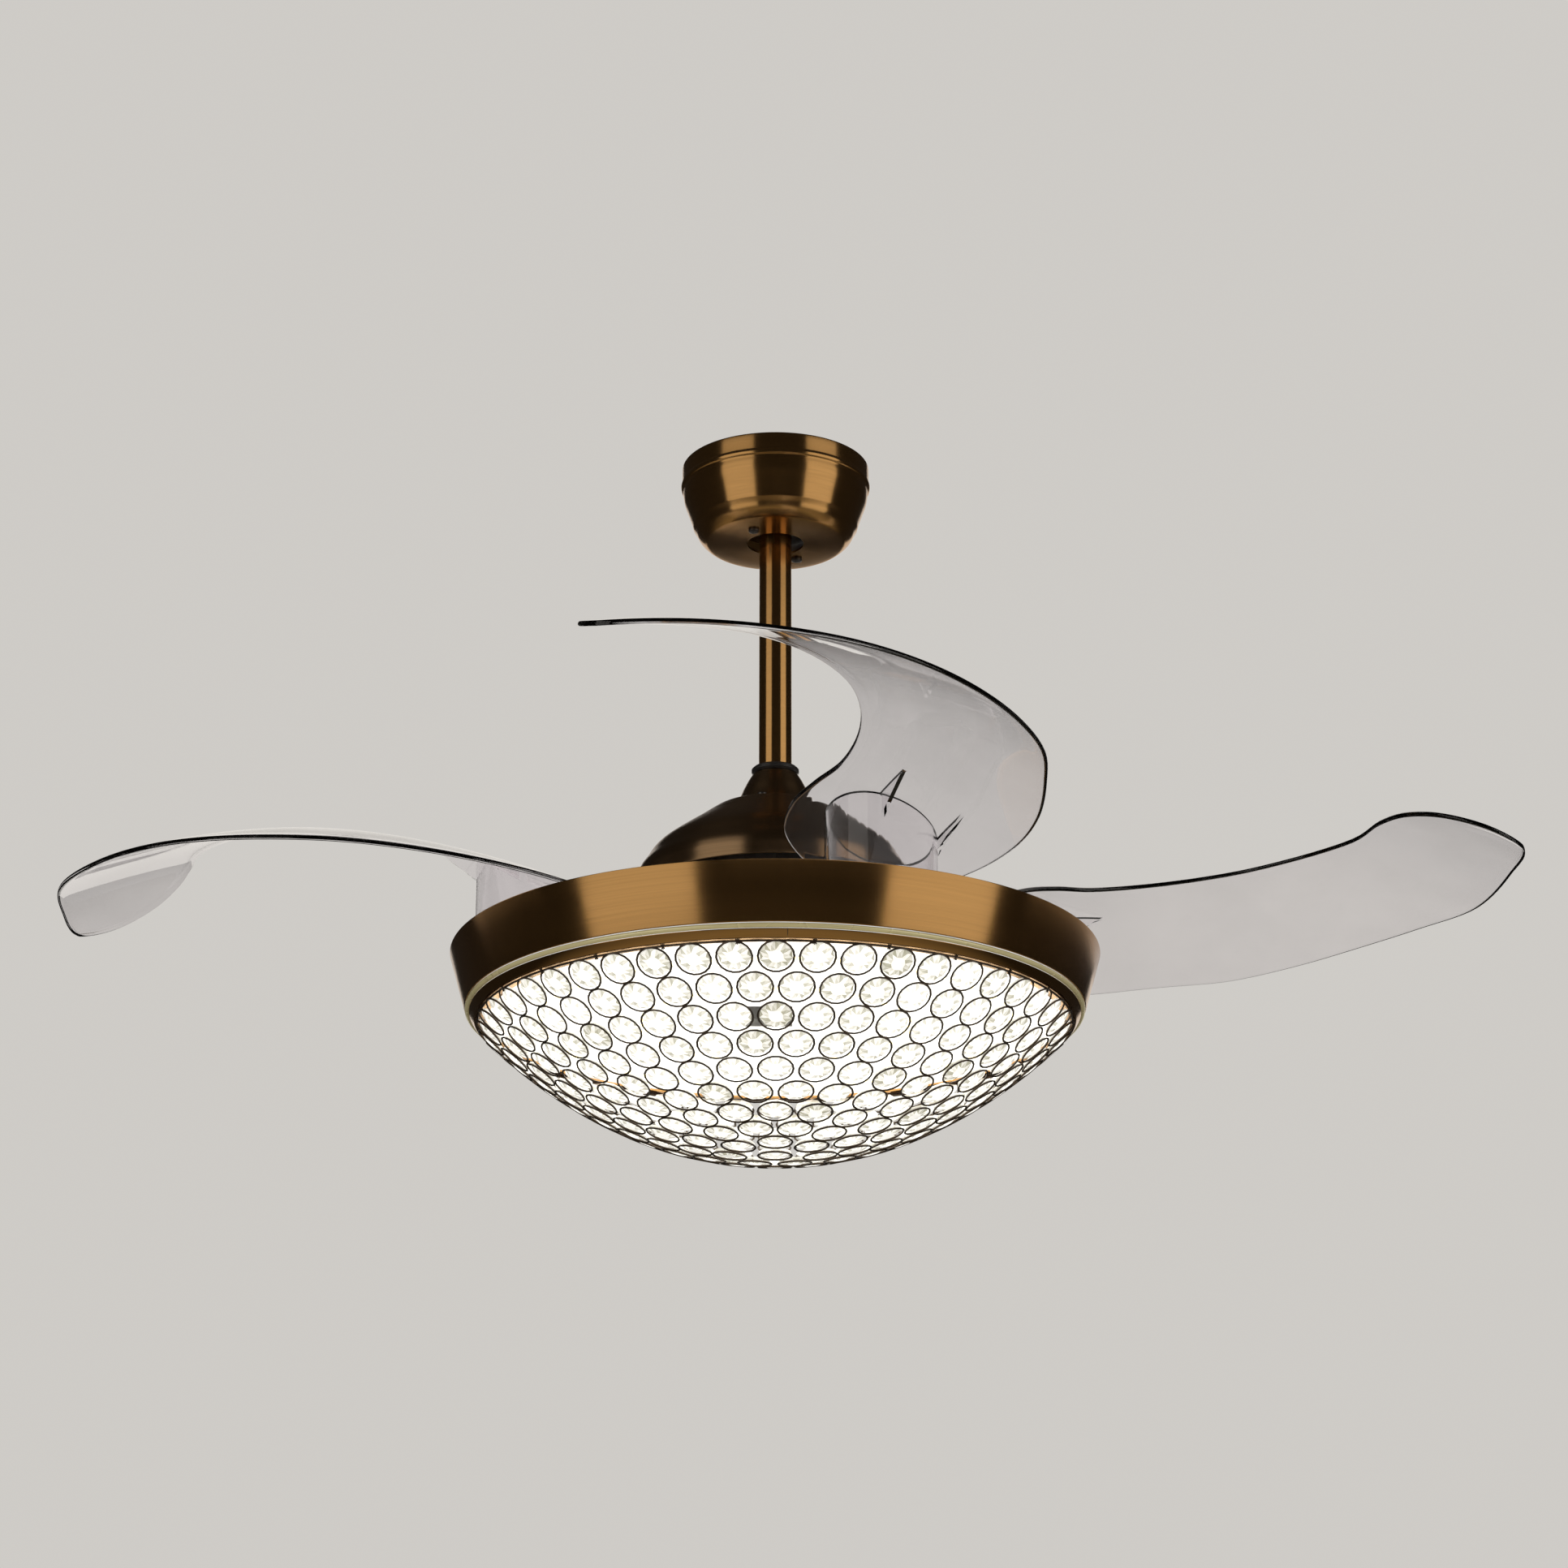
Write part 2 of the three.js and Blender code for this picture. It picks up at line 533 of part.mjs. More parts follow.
/** Bell that covers the coupling: it flares out to a short upright rim on the dome. */
function couplingCover(top) {
  const R = BELL_RIM_RADIUS;
  const rim = BELL_BOTTOM_Z;
  const outer = [
    [ROD_RADIUS + BORE_CLEARANCE, top], [BELL_TOP_RADIUS, top], [BELL_TOP_RADIUS + 2.5, top - 4.2],
    [R - 8.6, rim + 15.2], [R - 4.1, rim + 5.8], [R, rim + 1], [R, rim],
  ];
  return shell(outer, BELL_WALL, HIDDEN_SEGMENTS);
}

function addSuspension() {
  const pinLength = 2 * (Math.sqrt(BALL_RADIUS ** 2 - HANGER_PIN_LIFT ** 2) - HANGER_PIN_RECESS);
  const collarBottom = COLLAR_TOP_Z - COLLAR_HEIGHT;
  const bolt = crossRod(COUPLING_BOLT_RADIUS, COUPLING_BOLT_LENGTH, COUPLING_BOLT_Z);
  add(fan, "hanger_ball", hangerBall(), MATERIALS.nylon);
  add(fan, "hanger_pin", crossRod(HANGER_PIN_RADIUS, pinLength, HANGER_PIN_Z), MATERIALS.steel);
  add(fan, "downrod", downrod(), MATERIALS.brass);
  add(fan, "rod_collar", rodCollar(collarBottom), MATERIALS.black);
  add(fan, "coupling_cover", couplingCover(collarBottom - SEAT_GAP), MATERIALS.brass);
  add(fan, "shaft_coupling", shaftCoupling(), MATERIALS.steel);
  add(fan, "coupling_bolt", bolt, MATERIALS.steel);
  add(fan, "motor_dome", motorDome(), MATERIALS.brass);
  const size = {
    shank: DOME_SCREW_SHANK,
    head: DOME_SCREW_HEAD,
    headHeight: DOME_SCREW_HEAD_HEIGHT,
    length: DOME_WALL + COUPLING_FLANGE_THICKNESS + DOME_SCREW_END,
  };
  const solid = screw(size, BELL_BOTTOM_Z, 1);
  domeScrewPlaces().forEach(([x, y], i) => {
    add(fan, `dome_screw_${i + 1}`, solid, MATERIALS.darkSteel).position.set(x, y, 0);
  });
}

/** Laminated core: a hub with teeth that end in wide shoes. */
function statorCore(low, high, radius) {
  let core = ring(SHAFT_RADIUS + BORE_CLEARANCE, STATOR_HUB_RADIUS, low, high, HIDDEN_SEGMENTS);
  for (let i = 0; i < STATOR_SLOTS; i++) {
    const shape = new THREE.Shape();
    const shoeStart = radius - STATOR_SHOE_DEPTH;
    const half = STATOR_TOOTH_WIDTH / 2;
    const shoe = STATOR_SHOE_WIDTH / 2;
    shape.moveTo(STATOR_HUB_RADIUS - 2, -half);
    shape.lineTo(shoeStart, -half);
    shape.lineTo(shoeStart, -shoe);
    shape.lineTo(radius, -shoe);
    shape.lineTo(radius, shoe);
    shape.lineTo(shoeStart, shoe);
    shape.lineTo(shoeStart, half);
    shape.lineTo(STATOR_HUB_RADIUS - 2, half);
    const tooth = new THREE.ExtrudeGeometry(shape, { depth: high - low, bevelEnabled: false });
    core = core.add(toSolid(tooth.translate(0, 0, low).rotateZ((i * 2 * Math.PI) / STATOR_SLOTS)));
  }
  return core;
}

/** Fixed half of the motor: the hollow shaft, the core and the two ends of its windings. */
function addStator(middle, magnetInner) {
  const shaftTop = ROD_BOTTOM_Z - SEAT_GAP - COUPLING_WEB - SEAT_GAP;
  const shaftBottom = NUT_TOP_Z - NUT_HEIGHT - SHAFT_END_REACH;
  const shaft = hiddenRing(SHAFT_BORE, SHAFT_RADIUS, shaftBottom, shaftTop);
  add(fan, "motor_shaft", shaft, MATERIALS.steel);
  const coreTop = middle + STATOR_HEIGHT / 2;
  const coreBottom = middle - STATOR_HEIGHT / 2;
  const coreRadius = Math.sqrt((magnetInner - AIR_GAP) ** 2 - (STATOR_SHOE_WIDTH / 2) ** 2);
  add(fan, "stator_core", statorCore(coreBottom, coreTop, coreRadius), MATERIALS.darkSteel);
  const windings = [["upper", coreTop + SEAT_GAP], ["lower", coreBottom - SEAT_GAP - WINDING_HEIGHT]];
  for (const [place, low] of windings) {
    const solid = hiddenRing(WINDING_INNER_RADIUS, WINDING_OUTER_RADIUS, low, low + WINDING_HEIGHT);
    add(fan, `stator_winding_${place}`, solid, MATERIALS.copper);
  }
}

/** Turning half of the motor: bearings on the shaft, the lid and can that they carry, and the magnets. */
function addRotor(middle, magnetInner, magnetOuter) {
  const shaftFit = SHAFT_RADIUS + BORE_CLEARANCE;
  const seatRadius = BEARING_RADIUS + BORE_CLEARANCE;
  const seatOuter = seatRadius + CAN_WALL;
  const upperLow = CAN_TOP_Z - BEARING_HEIGHT;
  const lowerHigh = CAN_BOTTOM_Z + BEARING_HEIGHT;
  const upper = hiddenRing(shaftFit, BEARING_RADIUS, upperLow, CAN_TOP_Z);
  const lower = hiddenRing(shaftFit, BEARING_RADIUS, CAN_BOTTOM_Z, lowerHigh);
  add(fan, "upper_bearing", upper, MATERIALS.steel);
  add(fan, "lower_bearing", lower, MATERIALS.steel);
  const lidBottom = CAN_TOP_Z - CAN_WALL;
  const lid = turned([
    [seatRadius, CAN_TOP_Z], [CAN_RADIUS, CAN_TOP_Z], [CAN_RADIUS, lidBottom],
    [seatOuter, lidBottom], [seatOuter, upperLow], [seatRadius, upperLow],
  ], HIDDEN_SEGMENTS);
  add(fan, "rotor_lid", lid, MATERIALS.castAluminium);
  const canTop = lidBottom - SEAT_GAP;
  const floorTop = CAN_BOTTOM_Z + CAN_WALL;
  const can = turned([
    [seatRadius, CAN_BOTTOM_Z], [CAN_RADIUS, CAN_BOTTOM_Z], [CAN_RADIUS, canTop],
    [CAN_RADIUS - CAN_WALL, canTop], [CAN_RADIUS - CAN_WALL, floorTop], [seatOuter, floorTop],
    [seatOuter, lowerHigh], [seatRadius, lowerHigh],
  ], HIDDEN_SEGMENTS);
  add(fan, "rotor_can", can, MATERIALS.castAluminium);
  const halfHeight = MAGNET_HEIGHT / 2;
  const magnets = hiddenRing(magnetInner, magnetOuter, middle - halfHeight, middle + halfHeight);
  add(fan, "magnet_ring", magnets, MATERIALS.magnet);
}

function addMotor() {
  const middle = (CAN_TOP_Z + CAN_BOTTOM_Z) / 2;
  const magnetOuter = CAN_RADIUS - CAN_WALL - SEAT_GAP;
  const magnetInner = magnetOuter - MAGNET_THICKNESS;
  addStator(middle, magnetInner);
  addRotor(middle, magnetInner, magnetOuter);
}

const NUT_TOP_Z = PAN_TOP_Z - PAN_THICKNESS - SEAT_GAP;

/** The drum's outer radius at height z. */
const drumRadius = (z) =>
  DRUM_TOP_RADIUS +
  ((DRUM_TOP_Z - z) / (DRUM_TOP_Z - DRUM_BOTTOM_Z)) * (DRUM_BOTTOM_RADIUS - DRUM_TOP_RADIUS);

const TRIM_RADIUS = DRUM_BOTTOM_RADIUS - TRIM_INSET;
const LIP_TOP_Z = DRUM_BOTTOM_Z - TRIM_HEIGHT - 2 * SEAT_GAP;
const LIP_BOTTOM_Z = LIP_TOP_Z - LIP_HEIGHT;
const LEDGE_TOP_Z = LIP_BOTTOM_Z + LIP_WALL;
const LIP_TOP_RADIUS = TRIM_RADIUS - LIP_INSET;
const LIP_BOTTOM_RADIUS = LIP_TOP_RADIUS - LIP_LEAN;
const LIP_LEDGE_RADIUS = LIP_BOTTOM_RADIUS - LIP_LEDGE_WIDTH;
const BOWL_RIM_RADIUS = LIP_BOTTOM_RADIUS - BOWL_RIM_INSET;

/** The bowl's section: radii and heights from its rim to its bottom, one pair for each row's edge. */
function bowlLine(rimRadius, top, depth) {
  return Array.from({ length: BOWL_ROWS + 1 }, (_, row) => {
    const share = Math.cos((row / (BOWL_ROWS + 0.6)) * (Math.PI / 2));
    return [rimRadius * share, top - depth * (1 - share ** BOWL_FULLNESS)];
  });
}

/** Drum band, the pan inside its foot, and the spacer and nut that hold the pan on the shaft. */
function addDrum() {
  const band = turned([
    [DRUM_TOP_RADIUS, DRUM_TOP_Z], [DRUM_BOTTOM_RADIUS, DRUM_BOTTOM_Z],
    [DRUM_BOTTOM_RADIUS - DRUM_WALL, DRUM_BOTTOM_Z], [DRUM_TOP_RADIUS - DRUM_WALL, DRUM_TOP_Z],
  ], DRUM_SEGMENTS);
  add(fan, "drum_band", band, MATERIALS.brass);

  const shaftFit = SHAFT_RADIUS + BORE_CLEARANCE;
  const panBottom = PAN_TOP_Z - PAN_THICKNESS;
  const rimTop = panBottom + PAN_RIM_HEIGHT;
  const inside = (z) => drumRadius(z) - DRUM_WALL - SEAT_GAP;
  const pan = turned([
    [shaftFit, panBottom], [inside(panBottom), panBottom], [inside(rimTop), rimTop],
    [inside(rimTop) - PAN_THICKNESS, rimTop], [inside(PAN_TOP_Z) - PAN_THICKNESS, PAN_TOP_Z],
    [shaftFit, PAN_TOP_Z],
  ], DRUM_SEGMENTS);
  add(fan, "light_pan", pan, MATERIALS.steel);

  const spacerTop = CAN_BOTTOM_Z - SEAT_GAP;
  const spacer = hiddenRing(shaftFit, SPACER_RADIUS, PAN_TOP_Z + SEAT_GAP, spacerTop);
  add(fan, "shaft_spacer", spacer, MATERIALS.steel);
  const nutBottom = NUT_TOP_Z - NUT_HEIGHT;
  const hexagon = rod(NUT_RADIUS, nutBottom, NUT_TOP_Z, [0, 0], 6);
  const thread = holeCutter(SHAFT_RADIUS, nutBottom, NUT_TOP_Z, [0, 0], HIDDEN_SEGMENTS);
  add(fan, "shaft_nut", cut(hexagon, thread), MATERIALS.steel);
}

/** Pale bead under the drum, and the lip below it whose ledge carries the light plate. */
function addTrimAndLip() {
  const halfWidth = TRIM_WIDTH / 2;
  const halfHeight = TRIM_HEIGHT / 2;
  const beadZ = (DRUM_BOTTOM_Z + LIP_TOP_Z) / 2;
  const beadLine = Array.from({ length: TRIM_POINTS }, (_, i) => {
    const angle = ((i + 0.5) / TRIM_POINTS) * 2 * Math.PI;
    return [TRIM_RADIUS + halfWidth * Math.cos(angle), beadZ + halfHeight * Math.sin(angle)];
  });
  add(fan, "trim_ring", turned(beadLine, DRUM_SEGMENTS), MATERIALS.paleBrass);

  const lip = turned([
    [LIP_TOP_RADIUS, LIP_TOP_Z], [LIP_BOTTOM_RADIUS, LIP_BOTTOM_Z], [LIP_LEDGE_RADIUS, LIP_BOTTOM_Z],
    [LIP_LEDGE_RADIUS, LEDGE_TOP_Z], [LIP_BOTTOM_RADIUS - LIP_WALL, LEDGE_TOP_Z],
    [LIP_TOP_RADIUS - LIP_WALL, LIP_TOP_Z],
  ], DRUM_SEGMENTS);
  add(fan, "lower_lip", lip, MATERIALS.brass);
}

/** White plate on the lip's ledge with its light strips and receiver below and its driver above. */
function addLight() {
  const plateBottom = LEDGE_TOP_Z + SEAT_GAP;
  const plateTop = plateBottom + LIGHT_PLATE_THICKNESS;
  const plateRadius = LIP_BOTTOM_RADIUS - LIP_WALL - PLATE_RIM_GAP;
  const plate = rod(plateRadius, plateBottom, plateTop, [0, 0], DRUM_SEGMENTS);
  add(fan, "light_plate", plate, MATERIALS.whitePaint);
  const under = plateBottom - SEAT_GAP;
  LED_RING_RADII.forEach((radius, i) => {
    const half = LED_RING_WIDTH / 2;
    const strip = ring(radius - half, radius + half, under - LED_RING_THICKNESS, under);
    add(fan, `led_strip_${i + 1}`, strip, MATERIALS.led);
  });
  const driverZ = plateTop + SEAT_GAP + DRIVER_SIZE[2] / 2;
  add(fan, "led_driver", block(DRIVER_SIZE, [0, DRIVER_OFFSET, driverZ]), MATERIALS.whitePaint);
  const receiverZ = under - RECEIVER_SIZE[2] / 2;
  const receiver = block(RECEIVER_SIZE, [...RECEIVER_PLACE, receiverZ]);
  add(fan, "remote_receiver", receiver, MATERIALS.black);
}

function addBowl() {
  const rim = LIP_BOTTOM_Z - SEAT_GAP;
  const bottom = rim - BOWL_DEPTH;
  const outer = bowlLine(BOWL_RIM_RADIUS, rim, BOWL_DEPTH);
  const inner = bowlLine(BOWL_RIM_RADIUS - BOWL_WALL, rim, BOWL_DEPTH - BOWL_WALL);
  const outline = [...outer, [0, bottom], [0, bottom + BOWL_WALL], ...inner.reverse()];
  add(fan, "crystal_bowl", turned(outline, BOWL_SEGMENTS), MATERIALS.crystal);
}

// ---- Blades ----------------------------------------------------------------------------------
const BOSS_BOTTOM_Z = CARRIER_TOP_Z + SEAT_GAP + POST_FLANGE_HEIGHT + SEAT_GAP;
const BOSS_HUB_TOP_Z = BOSS_BOTTOM_Z + BOSS_HUB_HEIGHT;

/** From the fan's axis to each blade's pivot, as far out as the drum leaves room for the boss. */
const PIVOT_RADIUS = drumRadius(BOSS_BOTTOM_Z) - DRUM_WALL - BOSS_DRUM_GAP - BOSS_RADIUS;

/** Middle height of a blade at a point about its pivot, the same when folded and when swung out. */
function bladeHeight(x, y) {
  const turn = radians(FOLD_ANGLE);
  const foldedX = PIVOT_RADIUS + x * Math.cos(turn) - y * Math.sin(turn);
  const foldedY = x * Math.sin(turn) + y * Math.cos(turn);
  const radius = Math.hypot(foldedX, foldedY);
  let swept = THREE.MathUtils.radToDeg(-Math.atan2(foldedY, foldedX));
  if (swept < -60) swept += 360;
  const inward = BLADE_GUIDE_RADIUS - radius;
  const rise = (BLADE_RISE_PER_QUARTER * swept) / 90;
  return BLADE_LOW_Z + rise + BLADE_TILT * inward - BLADE_EASE * inward ** 2;
}

/** A point above or below the blade's middle surface. */
const onBlade = (x, y, offset) => new THREE.Vector3(x, y, bladeHeight(x, y) + offset);

/** The curved plate of a blade, spanned from its outer to its inner edge. */
function bladePlate() {
  const curve = new THREE.CatmullRomCurve3(
    BLADE_OUTLINE.map(([x, y]) => new THREE.Vector3(x, y, 0)),
    true,
    "centripetal",
  );
  const count = BLADE_OUTLINE.length;
  const edgePoint = (index) => curve.getPoint((((index % count) + count) % count) / count);
  const layer = (offset) =>
    Array.from({ length: BLADE_LENGTH_STEPS + 1 }, (_, i) => {
      const along = (1 - Math.cos((Math.PI * i) / BLADE_LENGTH_STEPS)) / 2;
      const outer = edgePoint(BLADE_ROOT_INDEX * (1 - along));
      const inner = edgePoint(BLADE_ROOT_INDEX + (count - BLADE_ROOT_INDEX) * along);
      return Array.from({ length: BLADE_WIDTH_STEPS + 1 }, (_, j) => {
        const point = outer.clone().lerp(inner, j / BLADE_WIDTH_STEPS);
        return onBlade(point.x, point.y, offset);
      });
    });
  return between(layer(BLADE_THICKNESS / 2), layer(-BLADE_THICKNESS / 2));
}

/** Clear round boss under the blade, closed below by a floor with a hub for the pivot post. */
function bladeBoss() {
  const bore = POST_RADIUS + BORE_CLEARANCE;
  const floorTop = BOSS_BOTTOM_Z + BOSS_FLOOR;
  const baseTop = floorTop + BOSS_BASE_HEIGHT;
  const innerRadius = BOSS_RADIUS - BOSS_WALL;
  const cup = turned([
    [bore, BOSS_BOTTOM_Z], [BOSS_RADIUS, BOSS_BOTTOM_Z], [BOSS_RADIUS, baseTop],
    [innerRadius, baseTop], [innerRadius, floorTop], [BOSS_HUB_RADIUS, floorTop],
    [BOSS_HUB_RADIUS, BOSS_HUB_TOP_Z], [bore, BOSS_HUB_TOP_Z],
  ], BOSS_SEGMENTS);
  const angles = Array.from({ length: BOSS_SEGMENTS }, (_, i) => (i / BOSS_SEGMENTS) * 2 * Math.PI);
  const around = (angle, radius) => [Math.sin(angle) * radius, -Math.cos(angle) * radius];
  const radii = [BOSS_RADIUS, innerRadius];
  const top = angles.map((a) => radii.map((r) => onBlade(...around(a, r), 0)));
  const wallStart = baseTop - BOSS_WALL_OVERLAP;
  const bottom = angles.map((a) => radii.map((r) => new THREE.Vector3(...around(a, r), wallStart)));
  return joined(cup, between(top, bottom, true));
}

/** Triangular gusset that runs out along X from the boss's wall under the blade. */
function gusset({ offset, reach, depth }) {
  const half = GUSSET_THICKNESS / 2;
  const start = Math.sqrt((BOSS_RADIUS - BOSS_WALL / 2) ** 2 - offset ** 2);
  const layer = (lowered) =>
    [0, 0.5, 1].map((share) => {
      const x = start + (reach - start) * share;
      const drop = lowered ? GUSSET_TOE + depth * (1 - share) : 0;
      return [-half, half].map((side) => onBlade(x, offset + side, -drop));
    });
  return between(layer(false), layer(true));
}

function addCarrier() {
  const hubTop = CAN_BOTTOM_Z - SEAT_GAP;
  const T = CARRIER_THICKNESS;
  const slopeFoot = PIVOT_RADIUS - BOSS_RADIUS - CARRIER_BOSS_GAP;
  const rim = drumRadius(CARRIER_TOP_Z) - DRUM_WALL - CARRIER_DRUM_GAP;
  const carrier = turned([
    [CARRIER_HUB_RADIUS, hubTop], [CARRIER_NECK_RADIUS, hubTop],
    [slopeFoot, CARRIER_TOP_Z], [rim, CARRIER_TOP_Z],
    [rim, CARRIER_TOP_Z - T], [slopeFoot - T / 2, CARRIER_TOP_Z - T],
    [CARRIER_NECK_RADIUS - T / 2, hubTop - T], [CARRIER_HUB_RADIUS, hubTop - T],
  ]);
  add(fan, "blade_carrier", carrier, MATERIALS.castAluminium);
}

/** Flanged post on the carrier that a blade turns on. */
function pivotPost() {
  const bottom = CARRIER_TOP_Z + SEAT_GAP;
  const flangeTop = bottom + POST_FLANGE_HEIGHT;
  const top = BOSS_HUB_TOP_Z + SEAT_GAP;
  return turned([
    [0, bottom], [POST_FLANGE_RADIUS, bottom], [POST_FLANGE_RADIUS, flangeTop],
    [POST_RADIUS, flangeTop], [POST_RADIUS, top], [0, top],
  ], HIDDEN_SEGMENTS);
}

/** Cap on the post that keeps the blade's hub on it. */
function pivotCap() {
  const bottom = BOSS_HUB_TOP_Z + 2 * SEAT_GAP;
  const top = bottom + CAP_HEIGHT;
  return turned([
    [0, bottom], [CAP_RADIUS, bottom], [CAP_RADIUS, bottom + CAP_HEIGHT * 0.6],
    [CAP_RADIUS * 0.7, top], [0, top],
  ], HIDDEN_SEGMENTS);
}

/** Sleeve in place of the torsion spring that draws a blade in. */
function returnSpring() {
  const low = BOSS_BOTTOM_Z + BOSS_FLOOR + SEAT_GAP;
  const half = SPRING_WIRE / 2;
  return ring(SPRING_RADIUS - half, SPRING_RADIUS + half, low, low + SPRING_HEIGHT, SMALL_SEGMENTS);
}

function addBlades() {
  const blade = joined(bladePlate(), bladeBoss(), ...GUSSETS.map(gusset));
  for (let i = 0; i < BLADE_COUNT; i++) {
    const pivot = turnedGroup(FIRST_PIVOT_AZIMUTH - (i * 360) / BLADE_COUNT, PIVOT_RADIUS);
    add(pivot, `blade_${i + 1}`, blade, MATERIALS.clearPlastic);
    add(pivot, `pivot_post_${i + 1}`, pivotPost(), MATERIALS.steel);
    add(pivot, `pivot_cap_${i + 1}`, pivotCap(), MATERIALS.darkSteel);
    add(pivot, `return_spring_${i + 1}`, returnSpring(), MATERIALS.darkSteel);
  }
}

addCeilingMount();
addSuspension();
addMotor();
addDrum();
addTrimAndLip();
addLight();
addBowl();
addCarrier();
addBlades();

export default fan;
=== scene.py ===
"""Looks of a ceiling fan with clear folding blades and a crystal bowl light, built round its frame.

Sizes are in millimetres in the frame's own axes (+Z up, the origin at the ceiling, -Y to the front)
and become metres when a surface is put into a mesh. Each sub-assembly is a class that builds its
surfaces as whole numpy arrays and dresses them; each finish is a frozen dataclass.
"""

from __future__ import annotations

import logging
import math
from dataclasses import dataclass, field
from enum import Enum
from typing import Callable, Sequence

import bmesh
import bpy
import numpy as np
from mathutils import Matrix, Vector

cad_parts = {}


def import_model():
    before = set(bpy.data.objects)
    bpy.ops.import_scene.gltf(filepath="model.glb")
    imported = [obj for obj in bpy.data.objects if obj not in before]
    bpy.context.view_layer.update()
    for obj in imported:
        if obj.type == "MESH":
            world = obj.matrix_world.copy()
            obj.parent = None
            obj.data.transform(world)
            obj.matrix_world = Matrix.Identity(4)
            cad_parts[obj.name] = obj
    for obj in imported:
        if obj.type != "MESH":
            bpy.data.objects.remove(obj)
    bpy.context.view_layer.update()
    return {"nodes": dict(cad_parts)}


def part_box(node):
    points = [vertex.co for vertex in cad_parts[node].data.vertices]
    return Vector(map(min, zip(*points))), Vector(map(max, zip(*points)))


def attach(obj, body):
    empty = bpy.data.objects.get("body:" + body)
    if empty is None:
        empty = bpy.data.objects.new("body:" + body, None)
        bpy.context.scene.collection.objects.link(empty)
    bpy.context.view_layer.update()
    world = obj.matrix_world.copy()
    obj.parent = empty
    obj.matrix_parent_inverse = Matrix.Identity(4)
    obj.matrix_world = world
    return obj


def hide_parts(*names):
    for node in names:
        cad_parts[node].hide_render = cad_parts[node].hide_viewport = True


MM = 0.001
TURN = 2 * math.pi

log = logging.getLogger("fan")


# ---- Surfaces --------------------------------------------------------------------------------


@dataclass
class Surface:
    """Points in millimetres and the faces between them, each group of faces with one corner count.

    A face may carry a value from 0 to 1, which becomes the mesh's "tone" attribute. The values
    lie in one array for each group of faces.
    """

    points: np.ndarray
    faces: list[np.ndarray]
    tone: list[np.ndarray] | None = None

    def moved(self, turn: float = 0.0, by: Sequence[float] = (0, 0, 0)) -> Surface:
        """Returns a copy turned about Z by an angle in radians and then shifted."""
        c, s = math.cos(turn), math.sin(turn)
        matrix = np.array([[c, -s, 0], [s, c, 0], [0, 0, 1]])
        return Surface(self.points @ matrix.T + np.asarray(by), self.faces, self.tone)

    def copied(self, centres: np.ndarray, frames: np.ndarray) -> Surface:
        """Returns one surface that holds a copy at each centre.

        Args:
            centres: the copies' places, (n, 3).
            frames: the copies' axes as columns, (n, 3, 3).
        """
        count, size = len(centres), len(self.points)
        points = np.einsum("nij,kj->nki", frames, self.points) + centres[:, None, :]
        offsets = (np.arange(count) * size)[:, None, None]
        faces = [(f[None] + offsets).reshape(-1, f.shape[1]) for f in self.faces]
        tone = None if self.tone is None else [np.tile(group, count) for group in self.tone]
        return Surface(points.reshape(-1, 3), faces, tone)


def joined(parts: Sequence[Surface]) -> Surface:
    """Returns several surfaces as one, with their faces kept apart."""
    starts = np.cumsum([0] + [len(p.points) for p in parts])
    faces = [f + start for p, start in zip(parts, starts) for f in p.faces]
    has_tone = all(p.tone is not None for p in parts)
    tone = [group for p in parts for group in p.tone] if has_tone else None
    return Surface(np.concatenate([p.points for p in parts]), faces, tone)


def grid(points: np.ndarray, wrap_rows: bool = False, wrap_columns: bool = False) -> Surface:
    """Returns the quads of a (rows, columns, 3) grid of points.

    Args:
        points: the surface at every pair of its two parameters.
        wrap_rows: whether the last row meets the first.
        wrap_columns: whether the last column meets the first.
    """
    rows, columns = points.shape[:2]
    i = np.arange(rows if wrap_rows else rows - 1)[:, None]
    j = np.arange(columns if wrap_columns else columns - 1)[None, :]
    down, across = (i + 1) % rows, (j + 1) % columns
    corners = [i * columns + j, down * columns + j, down * columns + across, i * columns + across]
    quads = np.stack(np.broadcast_arrays(*corners), -1).reshape(-1, 4)
    return Surface(points.reshape(-1, 3), [quads])


def rounded(corners: Sequence[Sequence[float]], radii: float | Sequence[float], steps: int = 4,
            closed: bool = True) -> np.ndarray:
    """Returns an outline whose corners are arcs.

    Each corner is cut back along both of its sides by r / tan(half the corner's angle), at most
    0.45 of either side, and joined by a quadratic curve through the corner.

    Args:
        corners: the sharp corners, in order.
        radii: one radius for all corners, or one for each.
        steps: points along each arc, less one.
        closed: whether the last corner joins the first; open ends stay sharp.
    """
    points = np.asarray(corners, float)
    count = len(points)
    radius = np.broadcast_to(np.asarray(radii, float), (count,))
    before, after = np.roll(points, 1, 0) - points, np.roll(points, -1, 0) - points
    reach = [np.linalg.norm(side, axis=1) for side in (before, after)]
    unit = [side / np.maximum(size, 1e-9)[:, None] for side, size in zip((before, after), reach)]
    half = 0.5 * np.arccos(np.clip((unit[0] * unit[1]).sum(1), -1, 1))
    back = np.minimum(radius / np.maximum(np.tan(half), 1e-6), 0.45 * np.minimum(*reach))
    if not closed:
        back[[0, -1]] = 0
    t = np.linspace(0, 1, steps + 1)[None, :, None]
    start, end = (points + u * back[:, None] for u in unit)
    arcs = (1 - t) ** 2 * start[:, None] + 2 * t * (1 - t) * points[:, None] + t**2 * end[:, None]
    outline = arcs.reshape(-1, points.shape[1])
    keep = np.linalg.norm(outline - np.roll(outline, 1, 0), axis=1) > 1e-6
    keep[0] = True
    return outline[keep]


